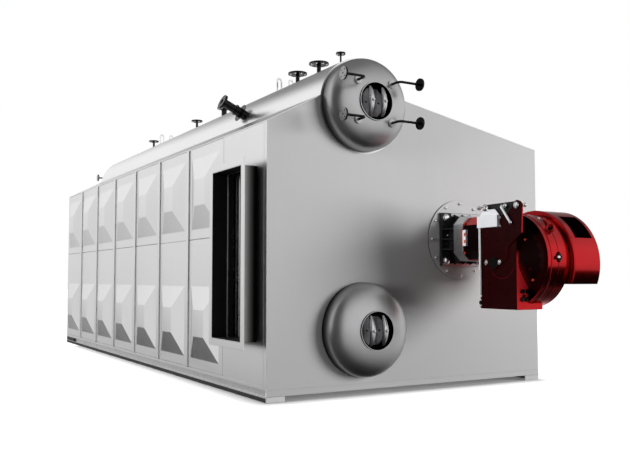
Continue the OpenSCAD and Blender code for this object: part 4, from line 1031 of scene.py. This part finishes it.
seen = add(tree, "ShaderNodeMath", {0: direct, 1: through}, operation="MAXIMUM").outputs[0]
white = add(tree, "ShaderNodeBackground", {"Color": WHITE, "Strength": strength})
soft = add(tree, "ShaderNodeBackground", {"Color": WHITE, "Strength": FILL})
pick = add(tree, "ShaderNodeMixShader", {0: seen, 1: soft.outputs[0], 2: white.outputs[0]})
add(tree, "ShaderNodeOutputWorld", {"Surface": pick.outputs[0]})


def lamp(name, where, towards, size, power):
    """A soft square lamp."""
    light = bpy.data.lights.new(name, "AREA")
    light.shape = "SQUARE"
    light.size = size
    light.energy = power
    holder = bpy.data.objects.new(name, light)
    holder.location = where
    holder.rotation_euler = (Vector(towards) - Vector(where)).to_track_quat("-Z", "Y").to_euler()
    holder.visible_glossy = False
    bpy.context.scene.collection.objects.link(holder)
    return holder


# Big soft lamps: from the left and behind, from the right and in front, along the front from the left, and
# from behind on the right, which only lights the sides turned from the camera.
lamp("lamp_left", (-15.0, 9.0, 5.5), (-1.6, 0.0, 1.4), 7.0, LEFT_POWER)
lamp("lamp_front", (13.0, -18.0, 3.4), (0.0, -3.6, 1.4), 9.0, FRONT_POWER)
lamp("lamp_side", (-16.0, -5.2, 3.0), (0.5, -4.4, 1.6), 5.0, SIDE_POWER)
lamp("lamp_rear", (12.0, 15.0, 5.0), (0.0, 3.6, 1.4), 8.0, REAR_POWER)


def card(name, corners, brightness):
    """A glowing card that shows only in what mirrors it."""
    cloth = bpy.data.materials.new(name)
    cloth.use_nodes = True
    tree = cloth.node_tree
    tree.nodes.clear()
    glow = add(tree, "ShaderNodeEmission", {"Color": WHITE, "Strength": brightness})
    add(tree, "ShaderNodeOutputMaterial", {"Surface": glow.outputs[0]})
    piece = sheet(name, corners, cloth)
    piece.visible_camera = False
    piece.visible_diffuse = False
    piece.visible_shadow = False
    piece.visible_transmission = False
    return piece


# A dark curtain in front on the left, and a bright card beside it, high up on the left.
card("studio_curtain", [(-2.6, -7.4, -3.0), (-4.9, -4.5, -3.0), (-4.9, -4.5, 6.5), (-2.6, -7.4, 6.5)], CURTAIN)
card("studio_card", [(-8.0, 1.5, 3.6), (-8.0, -3.8, 3.6), (-8.0, -3.8, 9.5), (-8.0, 1.5, 9.5)], HIGH_CARD)
# A dark cloth over the ground in front on the right, which keeps the underside of the burner's drum dark.
cloth_corners = [(1.0, -9.0, 0.25), (6.0, -9.0, 0.25), (6.0, -5.3, 0.25), (1.0, -5.3, 0.25)]
card("studio_ground_cloth", cloth_corners, GROUND_CLOTH)

# Camera, at the photograph's place and angle. It looks up a little, and to the right of straight at the front.
FOCAL_LENGTH = 44.461
LOOKS_UP = 3.205
TURNED_RIGHT = 30.154
lens = bpy.data.cameras.new("camera")
lens.lens = FOCAL_LENGTH
lens.sensor_width = 36.0
lens.clip_end = 400.0
camera = bpy.data.objects.new("camera", lens)
camera.location = (-5.0825, -10.3165, 1.184)
camera.rotation_euler = (math.radians(90 + LOOKS_UP), 0.0, math.radians(-TURNED_RIGHT))
bpy.context.scene.collection.objects.link(camera)
bpy.context.scene.camera = camera

bpy.context.scene.view_settings.view_transform = "Standard"

bpy.context.view_layer.update()
